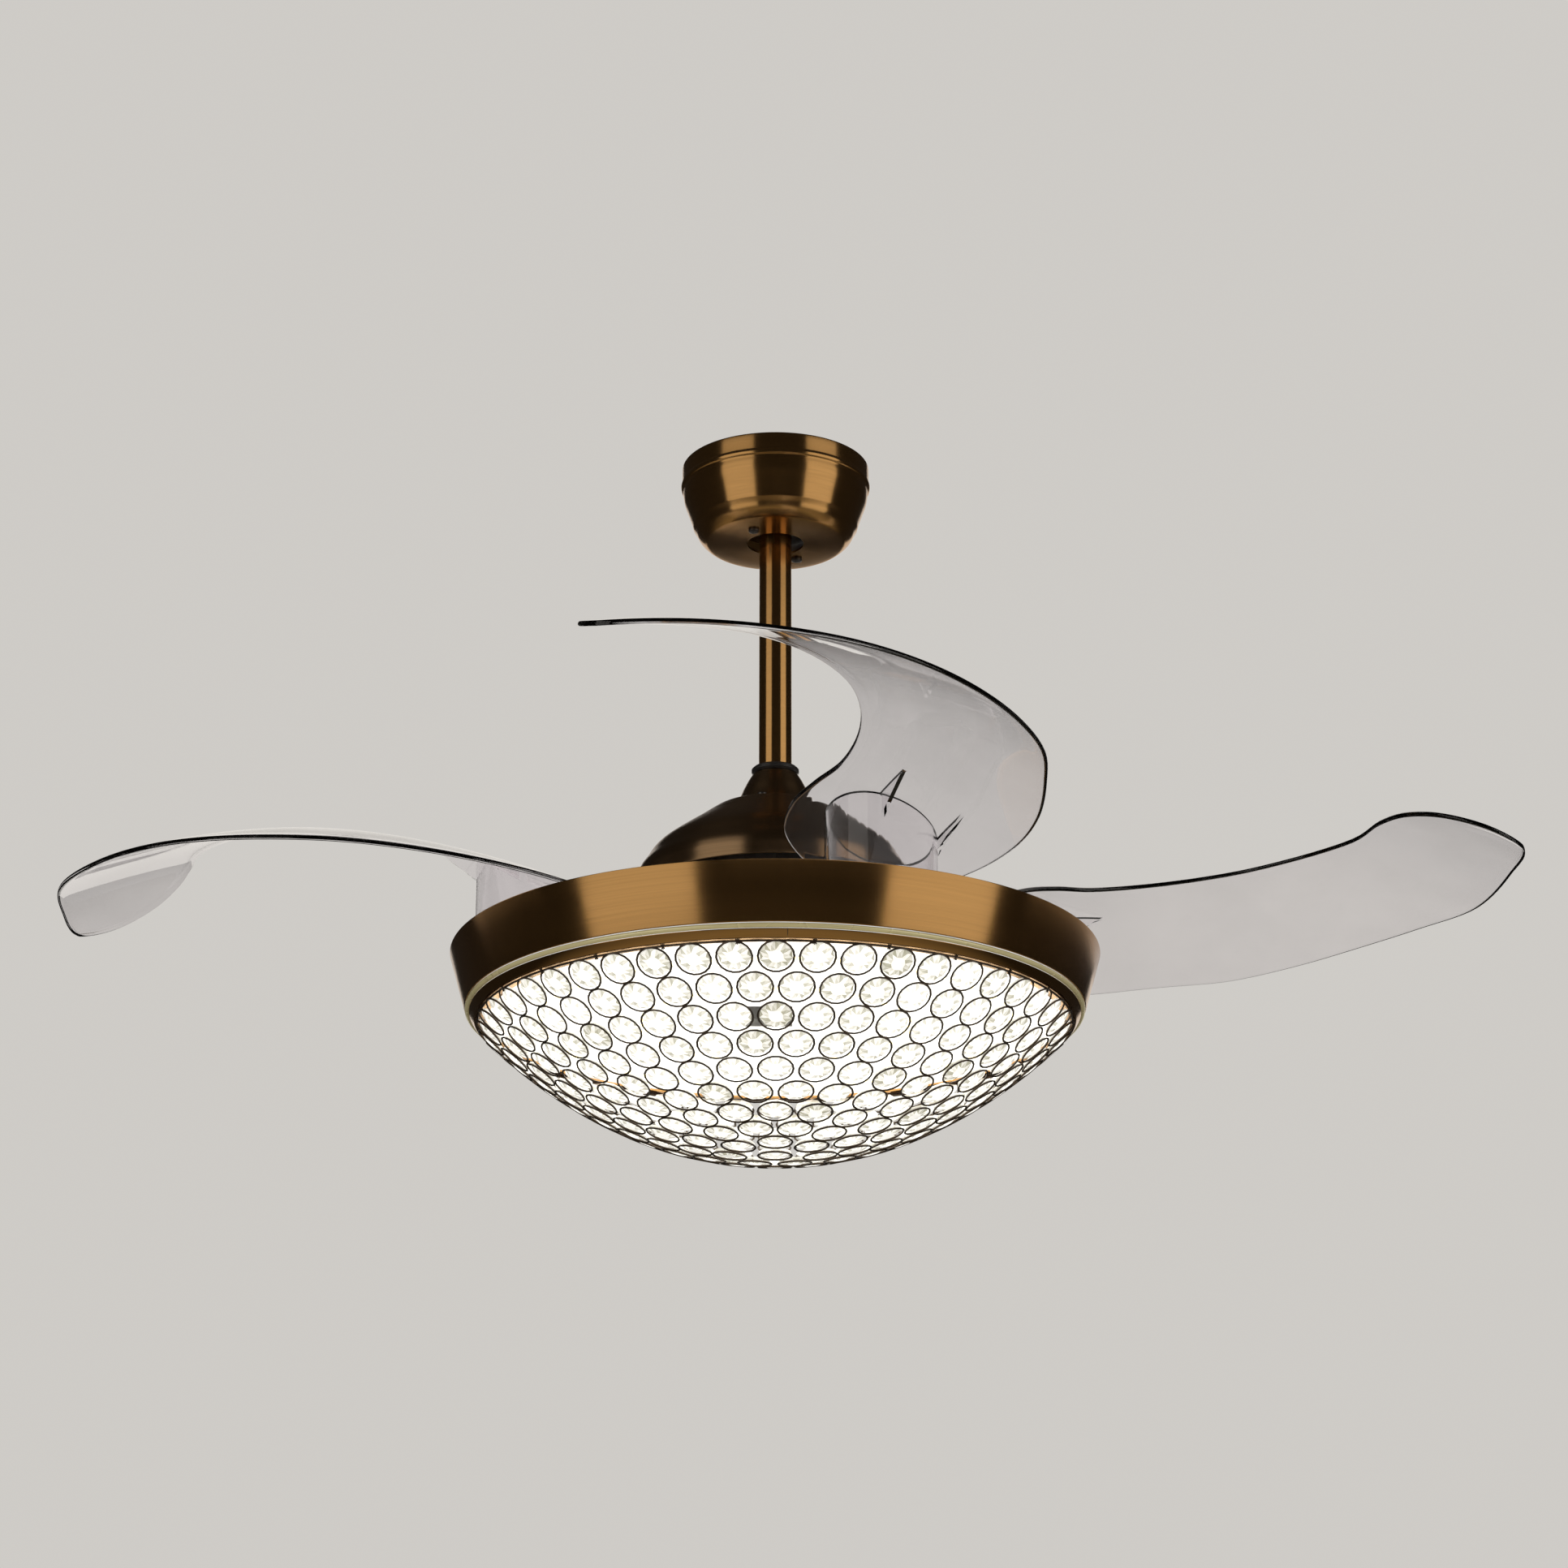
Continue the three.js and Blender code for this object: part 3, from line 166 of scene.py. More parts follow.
def curve(points: Sequence[Sequence[float]], steps: int = 6) -> np.ndarray:
    """Returns an open Catmull-Rom curve through points, with some steps between each pair."""
    p = np.asarray(points, float)
    ends = np.concatenate([2 * p[:1] - p[1:2], p, 2 * p[-1:] - p[-2:-1]])
    a, b, c, d = (ends[k : k + len(p) - 1][:, None] for k in range(4))
    t = np.linspace(0, 1, steps, endpoint=False)[None, :, None]
    between = 0.5 * (
        2 * b + (c - a) * t + (2 * a - 5 * b + 4 * c - d) * t**2 + (3 * b - a - 3 * c + d) * t**3
    )
    return np.concatenate([between.reshape(-1, p.shape[1]), p[-1:]])


def walled(outer: np.ndarray, wall: float) -> np.ndarray:
    """Returns a closed outline from an outer line of (radius, z) drawn downward.

    The inner line lies one wall's thickness along the inward normal of the outer one.
    """
    along = np.gradient(outer, axis=0)
    along /= np.maximum(np.linalg.norm(along, axis=1), 1e-9)[:, None]
    inner = outer + wall * np.stack([along[:, 1], -along[:, 0]], 1)
    return np.concatenate([outer, inner[::-1]])


def revolved(outline: np.ndarray, segments: int = 160, closed: bool = True) -> Surface:
    """Returns the surface swept by an outline of (radius, z) points turned about Z."""
    angles = np.linspace(0, TURN, segments, endpoint=False)[:, None]
    radius, height = outline[None, :, 0], outline[None, :, 1]
    points = [radius * np.cos(angles), radius * np.sin(angles), height + 0 * angles]
    return grid(np.stack(points, -1), wrap_rows=True, wrap_columns=closed)


def tube(path: np.ndarray, radius: float, sides: int = 8, closed: bool = False) -> Surface:
    """Returns a round tube along a path.

    Each ring lies square to the path; its first axis is the part of +Z (or of +X where the path
    is upright) that is square to the path, so the tube doesn't twist.
    """
    if closed:
        along = np.roll(path, -1, 0) - np.roll(path, 1, 0)
    else:
        along = np.gradient(path, axis=0)
    along = along / np.linalg.norm(along, axis=1)[:, None]
    upright = (np.abs(along[:, 2]) > 0.95)[:, None]
    up = np.where(upright, np.array([[1.0, 0, 0]]), np.array([[0, 0, 1.0]]))
    side = np.cross(along, up)
    side /= np.linalg.norm(side, axis=1)[:, None]
    top = np.cross(side, along)
    around = np.linspace(0, TURN, sides, endpoint=False)[None, :, None]
    spokes = np.cos(around) * side[:, None] + np.sin(around) * top[:, None]
    rings = path[:, None] + radius * spokes
    body = grid(rings, wrap_rows=closed, wrap_columns=True)
    if not closed:
        last = (len(path) - 1) * sides
        first_cap = np.arange(sides)[None, ::-1]
        body.faces += [first_cap, last + np.arange(sides)[None, :]]
    return body


def block(size: Sequence[float], centre: Sequence[float], edge: float = 0.3) -> Surface:
    """Returns a box with chamfered upright edges: an eight-cornered section between two heights."""
    half = np.asarray(size, float) / 2
    x, y = half[0], half[1]
    section = np.array([
        [x - edge, -y], [x, edge - y], [x, y - edge], [x - edge, y],
        [edge - x, y], [-x, y - edge], [-x, edge - y], [edge - x, -y],
    ])
    inset = section * (1 - edge / min(x, y))
    z = half[2]
    levels = [(inset, -z), (section, edge - z), (section, z - edge), (inset, z)]
    rings = np.stack([np.c_[line, np.full(8, at)] for line, at in levels]) + np.asarray(centre)
    body = grid(rings, wrap_columns=True)
    body.faces += [np.arange(8)[None, ::-1], 24 + np.arange(8)[None, :]]
    return body


def axes_on(normals: np.ndarray, heading: np.ndarray) -> np.ndarray:
    """Returns frames whose third axis is each normal and whose first axis lies along a heading."""
    third = normals / np.linalg.norm(normals, axis=1)[:, None]
    second = np.cross(third, heading)
    second /= np.linalg.norm(second, axis=1)[:, None]
    return np.stack([np.cross(second, third), second, third], -1)


def make_mesh(name: str, surface: Surface) -> bpy.types.Mesh:
    """Puts a surface into a mesh in metres, merges its doubles and turns its faces outward."""
    mesh = bpy.data.meshes.new(name)
    mesh.vertices.add(len(surface.points))
    mesh.vertices.foreach_set("co", (surface.points * MM).astype(np.float32).ravel())
    corners = np.concatenate([f.ravel() for f in surface.faces])
    sizes = np.concatenate([np.full(len(f), f.shape[1]) for f in surface.faces])
    mesh.loops.add(len(corners))
    mesh.loops.foreach_set("vertex_index", corners.astype(np.int32))
    mesh.polygons.add(len(sizes))
    mesh.polygons.foreach_set("loop_start", np.r_[0, np.cumsum(sizes)[:-1]].astype(np.int32))
    mesh.polygons.foreach_set("loop_total", sizes.astype(np.int32))
    if surface.tone is not None:
        tone = mesh.attributes.new("tone", "FLOAT", "FACE")
        tone.data.foreach_set("value", np.concatenate(surface.tone).astype(np.float32))
    mesh.update(calc_edges=True)
    tidy = bmesh.new()
    tidy.from_mesh(mesh)
    bmesh.ops.remove_doubles(tidy, verts=tidy.verts, dist=2e-6)
    bmesh.ops.dissolve_degenerate(tidy, edges=tidy.edges, dist=1e-7)
    bmesh.ops.recalc_face_normals(tidy, faces=tidy.faces)
    tidy.to_mesh(mesh)
    tidy.free()
    return mesh


@dataclass
class Piece:
    """One piece of the fan: its mesh, finish, body, and the frame nodes that it stands for."""

    name: str
    body: str
    material: bpy.types.Material
    slot: str
    stands_for: Sequence[str] = ()
    crease: float = 32.0

    def place(self, shape: Surface | bpy.types.Mesh) -> bpy.types.Object:
        """Makes the object, shades it smooth up to the crease angle and rides it on its body."""
        mesh = shape if isinstance(shape, bpy.types.Mesh) else make_mesh(self.name, shape)
        mesh.shade_smooth()
        mesh.set_sharp_from_angle(angle=math.radians(self.crease))
        mesh.materials.clear()
        mesh.materials.append(self.material)
        piece = bpy.data.objects.new(self.name, mesh)
        bpy.context.scene.collection.objects.link(piece)
        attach(piece, self.body)
        if self.stands_for:
            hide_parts(*self.stands_for)
        log.info("%s: %d faces on %s", self.name, len(mesh.polygons), self.body)
        return piece


@dataclass(frozen=True)
class Span:
    """Lowest and highest corner of a frame node, in millimetres."""

    low: np.ndarray
    high: np.ndarray

    @classmethod
    def of(cls, node: str) -> Span:
        """Reads a node's box from the frame."""
        low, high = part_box(node)
        return cls(np.array(low) / MM, np.array(high) / MM)

    @property
    def top(self) -> float:
        """Highest z."""
        return float(self.high[2])

    @property
    def bottom(self) -> float:
        """Lowest z."""
        return float(self.low[2])

    @property
    def radius(self) -> float:
        """Largest reach along +X, which is the radius of a round node about the fan's axis."""
        return float(self.high[0])

    @property
    def centre(self) -> np.ndarray:
        """Middle of the box."""
        return (self.low + self.high) / 2


# ---- Shader groups -----------------------------------------------------------------------------


class Socket(Enum):
    """Kinds of socket on a node group."""

    VALUE = "NodeSocketFloat"


class Graph:
    """A node tree with short calls to add nodes and to join them."""

    def __init__(self, tree: bpy.types.NodeTree) -> None:
        """Keeps the tree."""
        self.tree = tree

    def node(self, kind: str, inputs: dict | None = None, **settings: object) -> bpy.types.Node:
        """Adds a node.

        Args:
            kind: the node's type name.
            inputs: values or sockets for its inputs, by name or number.
            settings: the node's own properties.

        Returns:
            The node.
        """
        made = self.tree.nodes.new(kind)
        for key, value in settings.items():
            setattr(made, key, value)
        for key, value in (inputs or {}).items():
            if isinstance(value, bpy.types.NodeSocket):
                self.tree.links.new(value, made.inputs[key])
            else:
                made.inputs[key].default_value = value
        return made

    def maths(self, operation: str, *values: object) -> bpy.types.NodeSocket:
        """Adds a Math node and returns its result."""
        return self.node("ShaderNodeMath", dict(enumerate(values)), operation=operation).outputs[0]

    def ramp(self, factor: bpy.types.NodeSocket, stops: dict[float, tuple]) -> bpy.types.NodeSocket:
        """Adds a Color Ramp with colours at given places and returns its colour."""
        made = self.node("ShaderNodeValToRGB", {"Fac": factor})
        elements = made.color_ramp.elements
        while len(elements) < len(stops):
            elements.new(0.5)
        for element, (place, colour) in zip(elements, sorted(stops.items())):
            element.position = place
            element.color = (*colour[:3], 1)
        return made.outputs["Color"]

    def mixed(self, factor: object, first: object, second: object) -> bpy.types.NodeSocket:
        """Adds a colour Mix node and returns its result."""
        inputs = {0: factor, 6: first, 7: second}
        return self.node("ShaderNodeMix", inputs, data_type="RGBA").outputs[2]


def make_group(name: str, inputs: dict[str, tuple[Socket, object]],
               outputs: dict[str, Socket]) -> tuple[Graph, bpy.types.Node, bpy.types.Node]:
    """Makes an empty node group with named sockets.

    Args:
        name: the group's name.
        inputs: each input's kind and default.
        outputs: each output's kind.

    Returns:
        The group's graph, its input node and its output node.
    """
    tree = bpy.data.node_groups.new(name, "ShaderNodeTree")
    for label, (kind, default) in inputs.items():
        socket = tree.interface.new_socket(label, in_out="INPUT", socket_type=kind.value)
        socket.default_value = default
    for label, kind in outputs.items():
        tree.interface.new_socket(label, in_out="OUTPUT", socket_type=kind.value)
    graph = Graph(tree)
    return graph, graph.node("NodeGroupInput"), graph.node("NodeGroupOutput")


def brushing_group() -> bpy.types.NodeTree:
    """Fine marks that run round the fan's axis, as a turned part is brushed on a lathe.

    Noise is read at (angle, height, radius), stretched about a hundred times along the angle.
    """
    graph, given, result = make_group(
        "turned_brushing",
        {"Marks per metre": (Socket.VALUE, 900.0), "Length": (Socket.VALUE, 1.6)},
        {"Marks": Socket.VALUE, "Bands": Socket.VALUE},
    )
    place = graph.node("ShaderNodeTexCoord").outputs["Object"]
    parts = graph.node("ShaderNodeSeparateXYZ", {0: place}).outputs
    angle = graph.maths("ARCTAN2", parts["Y"], parts["X"])
    squares = [graph.maths("MULTIPLY", parts[axis], parts[axis]) for axis in "XY"]
    radius = graph.maths("SQRT", graph.maths("ADD", *squares))
    round_way = graph.maths("MULTIPLY", angle, given.outputs["Length"])
    upward = graph.maths("MULTIPLY", parts["Z"], given.outputs["Marks per metre"])
    outward = graph.maths("MULTIPLY", radius, given.outputs["Marks per metre"])
    spread = graph.node("ShaderNodeCombineXYZ", {0: round_way, 1: upward, 2: outward}).outputs[0]
    fine = graph.node("ShaderNodeTexNoise", {"Vector": spread, "Scale": 1.0, "Detail": 3.0})
    coarse = graph.node("ShaderNodeTexNoise", {"Vector": spread, "Scale": 0.12, "Detail": 2.0})
    graph.tree.links.new(fine.outputs["Fac"], result.inputs["Marks"])
    graph.tree.links.new(coarse.outputs["Fac"], result.inputs["Bands"])
    return graph.tree


def clouding_group() -> bpy.types.NodeTree:
    """Soft patches and fine specks: tarnish on metal, or dust and handling marks on plastic."""
    graph, given, result = make_group(
        "clouding",
        {"Patch scale": (Socket.VALUE, 18.0), "Speck scale": (Socket.VALUE, 420.0)},
        {"Patches": Socket.VALUE, "Specks": Socket.VALUE},
    )
    place = graph.node("ShaderNodeTexCoord").outputs["Object"]
    patch_inputs = {"Vector": place, "Scale": given.outputs["Patch scale"], "Detail": 4.0}
    patches = graph.node("ShaderNodeTexNoise", patch_inputs).outputs["Fac"]
    speck_inputs = {"Vector": place, "Scale": given.outputs["Speck scale"], "Detail": 1.0}
    specks = graph.node("ShaderNodeTexNoise", speck_inputs).outputs["Fac"]
    spread = {"From Min": 0.3, "From Max": 0.7}
    even = graph.node("ShaderNodeMapRange", {"Value": patches, **spread}).outputs["Result"]
    sparse = graph.node("ShaderNodeMapRange", {"Value": specks, "From Min": 0.62, "From Max": 0.75})
    graph.tree.links.new(even, result.inputs["Patches"])
    graph.tree.links.new(sparse.outputs["Result"], result.inputs["Specks"])
    return graph.tree


@dataclass
class Groups:
    """The shader groups that the finishes share, each built once."""

    brushing: bpy.types.NodeTree = field(default_factory=brushing_group)
    clouding: bpy.types.NodeTree = field(default_factory=clouding_group)


def shader_of(name: str) -> tuple[bpy.types.Material, Graph, bpy.types.Node]:
    """Makes a material and returns it with its graph and its Principled shader."""
    material = bpy.data.materials.new(name)
    material.use_nodes = True
    graph = Graph(material.node_tree)
    return material, graph, graph.tree.nodes["Principled BSDF"]


# ---- Finishes ----------------------------------------------------------------------------------


def darker(colour: Sequence[float], share: float) -> tuple[float, ...]:
    """Returns a share of a colour's light."""
    return tuple(c * share for c in colour)


@dataclass(frozen=True)
class BrushedMetal:
    """Metal brushed round the axis, with faint tarnish; the marks vary colour, gloss and relief."""

    name: str
    light: tuple[float, float, float]
    dark: tuple[float, float, float]
    roughness: float = 0.3
    roughness_spread: float = 0.12
    anisotropy: float = 0.75
    marks_per_metre: float = 900.0
    relief: float = 0.000012
    tarnish: float = 0.3

    def make(self, groups: Groups) -> bpy.types.Material:
        """Builds the material from the brushing and clouding groups."""
        material, graph, shader = shader_of(self.name)
        marks = graph.node("ShaderNodeGroup", node_tree=groups.brushing)
        marks.inputs["Marks per metre"].default_value = self.marks_per_metre
        clouds = graph.node("ShaderNodeGroup", node_tree=groups.clouding)
        shade = graph.ramp(marks.outputs["Marks"], {0.3: self.dark, 0.7: self.light})
        amount = graph.maths("MULTIPLY", clouds.outputs["Patches"], self.tarnish)
        dulled = tuple(0.5 * (a + b) for a, b in zip(self.light, self.dark))
        colour = graph.mixed(amount, shade, (*dulled, 1))
        spread = graph.maths("MULTIPLY", marks.outputs["Bands"], self.roughness_spread)
        rough = graph.maths("ADD", spread, self.roughness - self.roughness_spread / 2)
        bump_inputs = {"Height": marks.outputs["Marks"], "Strength": 0.2, "Distance": self.relief}
        bump = graph.node("ShaderNodeBump", bump_inputs)
        graph.tree.links.new(colour, shader.inputs["Base Color"])
        graph.tree.links.new(rough, shader.inputs["Roughness"])
        graph.tree.links.new(bump.outputs["Normal"], shader.inputs["Normal"])
        shader.inputs["Metallic"].default_value = 1.0
        if self.anisotropy:
            shader.inputs["Anisotropic"].default_value = self.anisotropy
            shader.inputs["Anisotropic Rotation"].default_value = 0.25
            tangent = graph.node("ShaderNodeTangent", direction_type="RADIAL", axis="Z")
            graph.tree.links.new(tangent.outputs["Tangent"], shader.inputs["Tangent"])
        return material


@dataclass(frozen=True)
class PlainFinish:
    """Cast, plated, painted or moulded finish: patches in colour and gloss, specks in relief."""

    name: str
    colour: tuple[float, float, float]
    metallic: float = 0.0
    roughness: float = 0.45
    variation: float = 0.18
    speck_relief: float = 0.00002
    patch_scale: float = 30.0
    speck_scale: float = 600.0
    coat: float = 0.0
    glow: float = 0.0
    glow_colour: tuple[float, float, float] = (1.0, 1.0, 1.0)

    def make(self, groups: Groups) -> bpy.types.Material:
        """Builds the material from the clouding group."""
        material, graph, shader = shader_of(self.name)
        clouds = graph.node("ShaderNodeGroup", node_tree=groups.clouding)
        clouds.inputs["Patch scale"].default_value = self.patch_scale
        clouds.inputs["Speck scale"].default_value = self.speck_scale
        worn = darker(self.colour, 1 - self.variation)
        colour = graph.mixed(clouds.outputs["Patches"], (*self.colour, 1), (*worn, 1))
        spread = graph.maths("MULTIPLY", clouds.outputs["Patches"], 0.12)
        rough = graph.maths("ADD", spread, self.roughness - 0.06)
        bump_inputs = {"Strength": 0.5, "Distance": self.speck_relief}
        bump = graph.node("ShaderNodeBump", {"Height": clouds.outputs["Specks"], **bump_inputs})
        graph.tree.links.new(colour, shader.inputs["Base Color"])
        graph.tree.links.new(rough, shader.inputs["Roughness"])
        graph.tree.links.new(bump.outputs["Normal"], shader.inputs["Normal"])
        shader.inputs["Metallic"].default_value = self.metallic
        shader.inputs["Coat Weight"].default_value = self.coat
        shader.inputs["Emission Color"].default_value = (*self.glow_colour, 1)
        shader.inputs["Emission Strength"].default_value = self.glow
        return material


@dataclass(frozen=True)
class ClearMoulding:
    """Clear acrylic with a faint violet grey tint, a little haze where it has been handled."""

    name: str
    tint: tuple[float, float, float]
    haze: float = 0.05

    def make(self, groups: Groups) -> bpy.types.Material:
        """Builds the material; the clouding group varies its gloss."""
        material, graph, shader = shader_of(self.name)
        clouds = graph.node("ShaderNodeGroup", node_tree=groups.clouding)
        deeper = darker(self.tint, 0.94)
        colour = graph.mixed(clouds.outputs["Patches"], (*self.tint, 1), (*deeper, 1))
        rough = graph.maths("MULTIPLY", clouds.outputs["Patches"], self.haze)
        graph.tree.links.new(colour, shader.inputs["Base Color"])
        graph.tree.links.new(rough, shader.inputs["Roughness"])
        shader.inputs["Transmission Weight"].default_value = 1.0
        shader.inputs["IOR"].default_value = 1.49
        return material


@dataclass(frozen=True)
class LitCrystal:
    """Cut glass lit from behind, with that light painted on as glow: each facet's tone sets how
    white it glows, which paints glints on the cut.
    """

    name: str
    bright: tuple[float, float, float]
    dim: tuple[float, float, float]
    glow: float

    def make(self, groups: Groups) -> bpy.types.Material:
        """Builds the material; the facet tone and fine specks set the colour of the painted glow.
        """
        material, graph, shader = shader_of(self.name)
        tone = graph.node("ShaderNodeAttribute", attribute_name="tone").outputs["Fac"]
        clouds = graph.node("ShaderNodeGroup", node_tree=groups.clouding)
        clouds.inputs["Patch scale"].default_value = 260.0
        speckled = graph.maths("MULTIPLY", clouds.outputs["Patches"], 0.1)
        values = {0: tone, 1: speckled}
        level = graph.node("ShaderNodeMath", values, operation="SUBTRACT", use_clamp=True)
        colour = graph.ramp(level.outputs[0], {0.0: self.dim, 0.75: self.bright})
        # Painted light: the emission stands in for the LED light that shines through the crystals
        # and glints off their facets.
        graph.tree.links.new(colour, shader.inputs["Emission Color"])
        graph.tree.links.new(colour, shader.inputs["Base Color"])
        shader.inputs["Emission Strength"].default_value = self.glow
        shader.inputs["Roughness"].default_value = 0.04
        shader.inputs["IOR"].default_value = 1.52
        shader.inputs["Transmission Weight"].default_value = 0.15
        shader.inputs["Coat Weight"].default_value = 0.6
        return material


BRASS = (0.56, 0.31, 0.11)
# Painted shade: the drum's brass, darkened for the dome and bell to stand in for the dim surround
# that they mirror.
BRASS_IN_PAINTED_SHADE = (0.3, 0.19, 0.1)


@dataclass
class Finishes:
    """Every finish of the fan as a made material."""

    groups: Groups
    made: dict[str, bpy.types.Material] = field(default_factory=dict)

    def __post_init__(self) -> None:
        """Makes the materials."""
        recipes = (
            BrushedMetal("brushed_brass", BRASS, darker(BRASS, 0.88), 0.21, 0.05, 0.85),
            BrushedMetal("brass_painted_dark", BRASS_IN_PAINTED_SHADE, darker(BRASS_IN_PAINTED_SHADE, 0.86), 0.26, 0.05, 0.8),
            BrushedMetal("polished_lip", BRASS, darker(BRASS, 0.9), 0.14, 0.06, 0.3, 500.0),
            PlainFinish("pale_bead", (0.74, 0.66, 0.36), 0.3, 0.26, 0.12, coat=0.5),
            PlainFinish("wire_bronze", (0.085, 0.062, 0.045), 0.85, 0.38),
            PlainFinish("black_moulding", (0.018, 0.016, 0.015), 0.0, 0.36, coat=0.3),
            PlainFinish("zinc_plate", (0.56, 0.57, 0.58), 1.0, 0.36),
            PlainFinish("oiled_steel", (0.13, 0.12, 0.115), 1.0, 0.34),
            PlainFinish("cast_aluminium", (0.58, 0.585, 0.59), 1.0, 0.5, speck_relief=0.00008),
            PlainFinish("ferrite", (0.07, 0.065, 0.06), 0.1, 0.6),
            PlainFinish("copper_wire", (0.62, 0.27, 0.11), 1.0, 0.35),
            PlainFinish("nylon", (0.82, 0.79, 0.71), 0.0, 0.42),
            PlainFinish("white_paint", (0.9, 0.89, 0.86), 0.0, 0.5),
            # Painted glow: the white plate and the circuit board are no lamps; their glow stands in
            # for the LED light spread over them.
            PlainFinish(
                "lit_plate", (0.94, 0.93, 0.9), 0.0, 0.5, glow=0.9, glow_colour=(1.0, 0.98, 0.94)
            ),
            PlainFinish("circuit_white", (0.92, 0.92, 0.88), 0.0, 0.4, glow=0.7),
            PlainFinish(
                "led_phosphor", (1.0, 0.86, 0.42), 0.0, 0.4, glow=2.2, glow_colour=(1.0, 0.84, 0.45)
            ),
            ClearMoulding("clear_acrylic", (0.95, 0.93, 0.95)),
            LitCrystal("lit_crystal", (1.0, 0.99, 0.96), (0.36, 0.35, 0.27), 0.62),
        )
        for recipe in recipes:
            self.made[recipe.name] = recipe.make(self.groups)

    def __getitem__(self, name: str) -> bpy.types.Material:
        """Gives a finish by its name."""
        return self.made[name]


# ---- What the sub-assemblies share ---------------------------------------------------------------

PIVOT_RADIUS = 186.0
FIRST_PIVOT_AZIMUTH = -67.5
PIVOTS = 4


def pivots() -> list[tuple[int, float, tuple[float, float, float]]]:
    """Returns each pivot's number, its azimuth in radians and its place."""
    found = []
    for number in range(1, PIVOTS + 1):
        azimuth = math.radians(FIRST_PIVOT_AZIMUTH - 360.0 / PIVOTS * (number - 1))
        place = (PIVOT_RADIUS * math.cos(azimuth), PIVOT_RADIUS * math.sin(azimuth), 0)
        found.append((number, azimuth, place))
    return found


def flat_ring(inner: float, span: Span) -> list[tuple[float, float]]:
    """Returns the corners of a square section from an inner radius out to a node's own."""
    top, low, outer = span.top, span.bottom, span.radius
    return [(inner, top), (outer, top), (outer, low), (inner, low)]


def cross_screw(head: np.ndarray, shank: np.ndarray, slot: Sequence[float],
                face: float) -> Surface:
    """Turns a screw's head and shank about Z and presses a cross into the head.

    Args:
        head: the head's section.
        shank: the shank's section.
        slot: length, width and depth of one arm of the cross.
        face: height of the head's face.
    """
    long, wide, deep = slot
    cross = [block(size, (0, 0, face)) for size in ((long, wide, deep), (wide, long, deep))]
    return joined([revolved(head, 24, False), revolved(shank, 16, False), *cross])


@dataclass
class Assembly:
    """A sub-assembly with its finishes and the body that its pieces ride on."""

    finishes: Finishes
    body: str = "suspension"

    def add(self, name: str, finish: str, slot: str, shape: Surface,
            nodes: Sequence[str] = (), crease: float = 32.0) -> None:
        """Places one piece.

        Args:
            name: the piece's name.
            finish: the name of its finish.
            slot: a material slot name; it is not used.
            shape: its surface.
            nodes: the frame nodes that it stands for.
            crease: the angle in degrees past which an edge stays sharp.
        """
        Piece(name, self.body, self.finishes[finish], slot, nodes, crease).place(shape)


# ---- Ceiling end -------------------------------------------------------------------------------


@dataclass
class CeilingMount(Assembly):
    """Canopy with its two screws; the bracket inside keeps its frame solid."""

    wall: float = 1.5
    hole_radius: float = 21.0
    floor_radius: float = 52.0
    side_radius: float = 70.0
    bead: float = 0.8
    body: str = "ceiling_mount"

    def canopy(self) -> Surface:
        """Side with a rolled bead near its top, a full shoulder, a crease and a flat floor."""
        span = Span.of("canopy")
        top, floor = span.top, span.bottom
        r = self.side_radius
        side = [
            (r - 0.5, top), (r, top - 1.2), (r, top - 11.2), (r + 0.15, top - 12.6),
            (r + self.bead, top - 14.4), (r + 0.3, top - 16.2), (r - self.bead, top - 17.4),
            (r - 1.0, top - 21.5), (r - 2.1, floor + 32.4), (r - 4.2, floor + 26.6),
            (r - 6.4, floor + 20.4), (r - 8.0, floor + 15.4), (r - 8.6, floor + 13.2),
        ]
        shoulder = [
            (r - 8.6, floor + 13.2), (r - 10.6, floor + 9.9), (r - 13.2, floor + 5.2),
            (self.floor_radius, floor + 0.9), (self.floor_radius - 4, floor),
        ]
        floor_line = [(self.floor_radius - 4, floor), (36, floor), (self.hole_radius, floor)]
        outer = np.concatenate([curve(side, 5)[:-1], curve(shoulder, 6)[:-1], np.array(floor_line)])
        return revolved(walled(outer, self.wall), 192)

    def screw(self, x: float, y: float, seat: float, low: float) -> Surface:
        """Pan head under the canopy's floor with a cross recess pressed into it."""
        head = rounded([(0, seat), (4, seat), (4, low + 0.5), (2.9, low), (0, low)], 0.5, 3, False)
        shank = np.array([(0, seat), (2, seat), (2, seat + 6.2), (0, seat + 6.4)])
        return cross_screw(head, shank, (4.6, 0.9, 0.5), low - 0.02).moved(by=(x, y, 0))

    def build(self) -> None:
        """Places the canopy and its screws."""
        self.add("canopy_cup", "brushed_brass", "brushed_brass", self.canopy(), ("canopy",))
        for number in (1, 2):
            node = f"canopy_screw_{number}"
            span = Span.of(node)
            x, y, _ = span.centre
            seat = Span.of("canopy").bottom
            screw = self.screw(x, y, seat, span.bottom)
            self.add(f"{node}_detail", "oiled_steel", "dark_steel", screw, (node,))


# ---- Rod, bell and motor dome ------------------------------------------------------------------


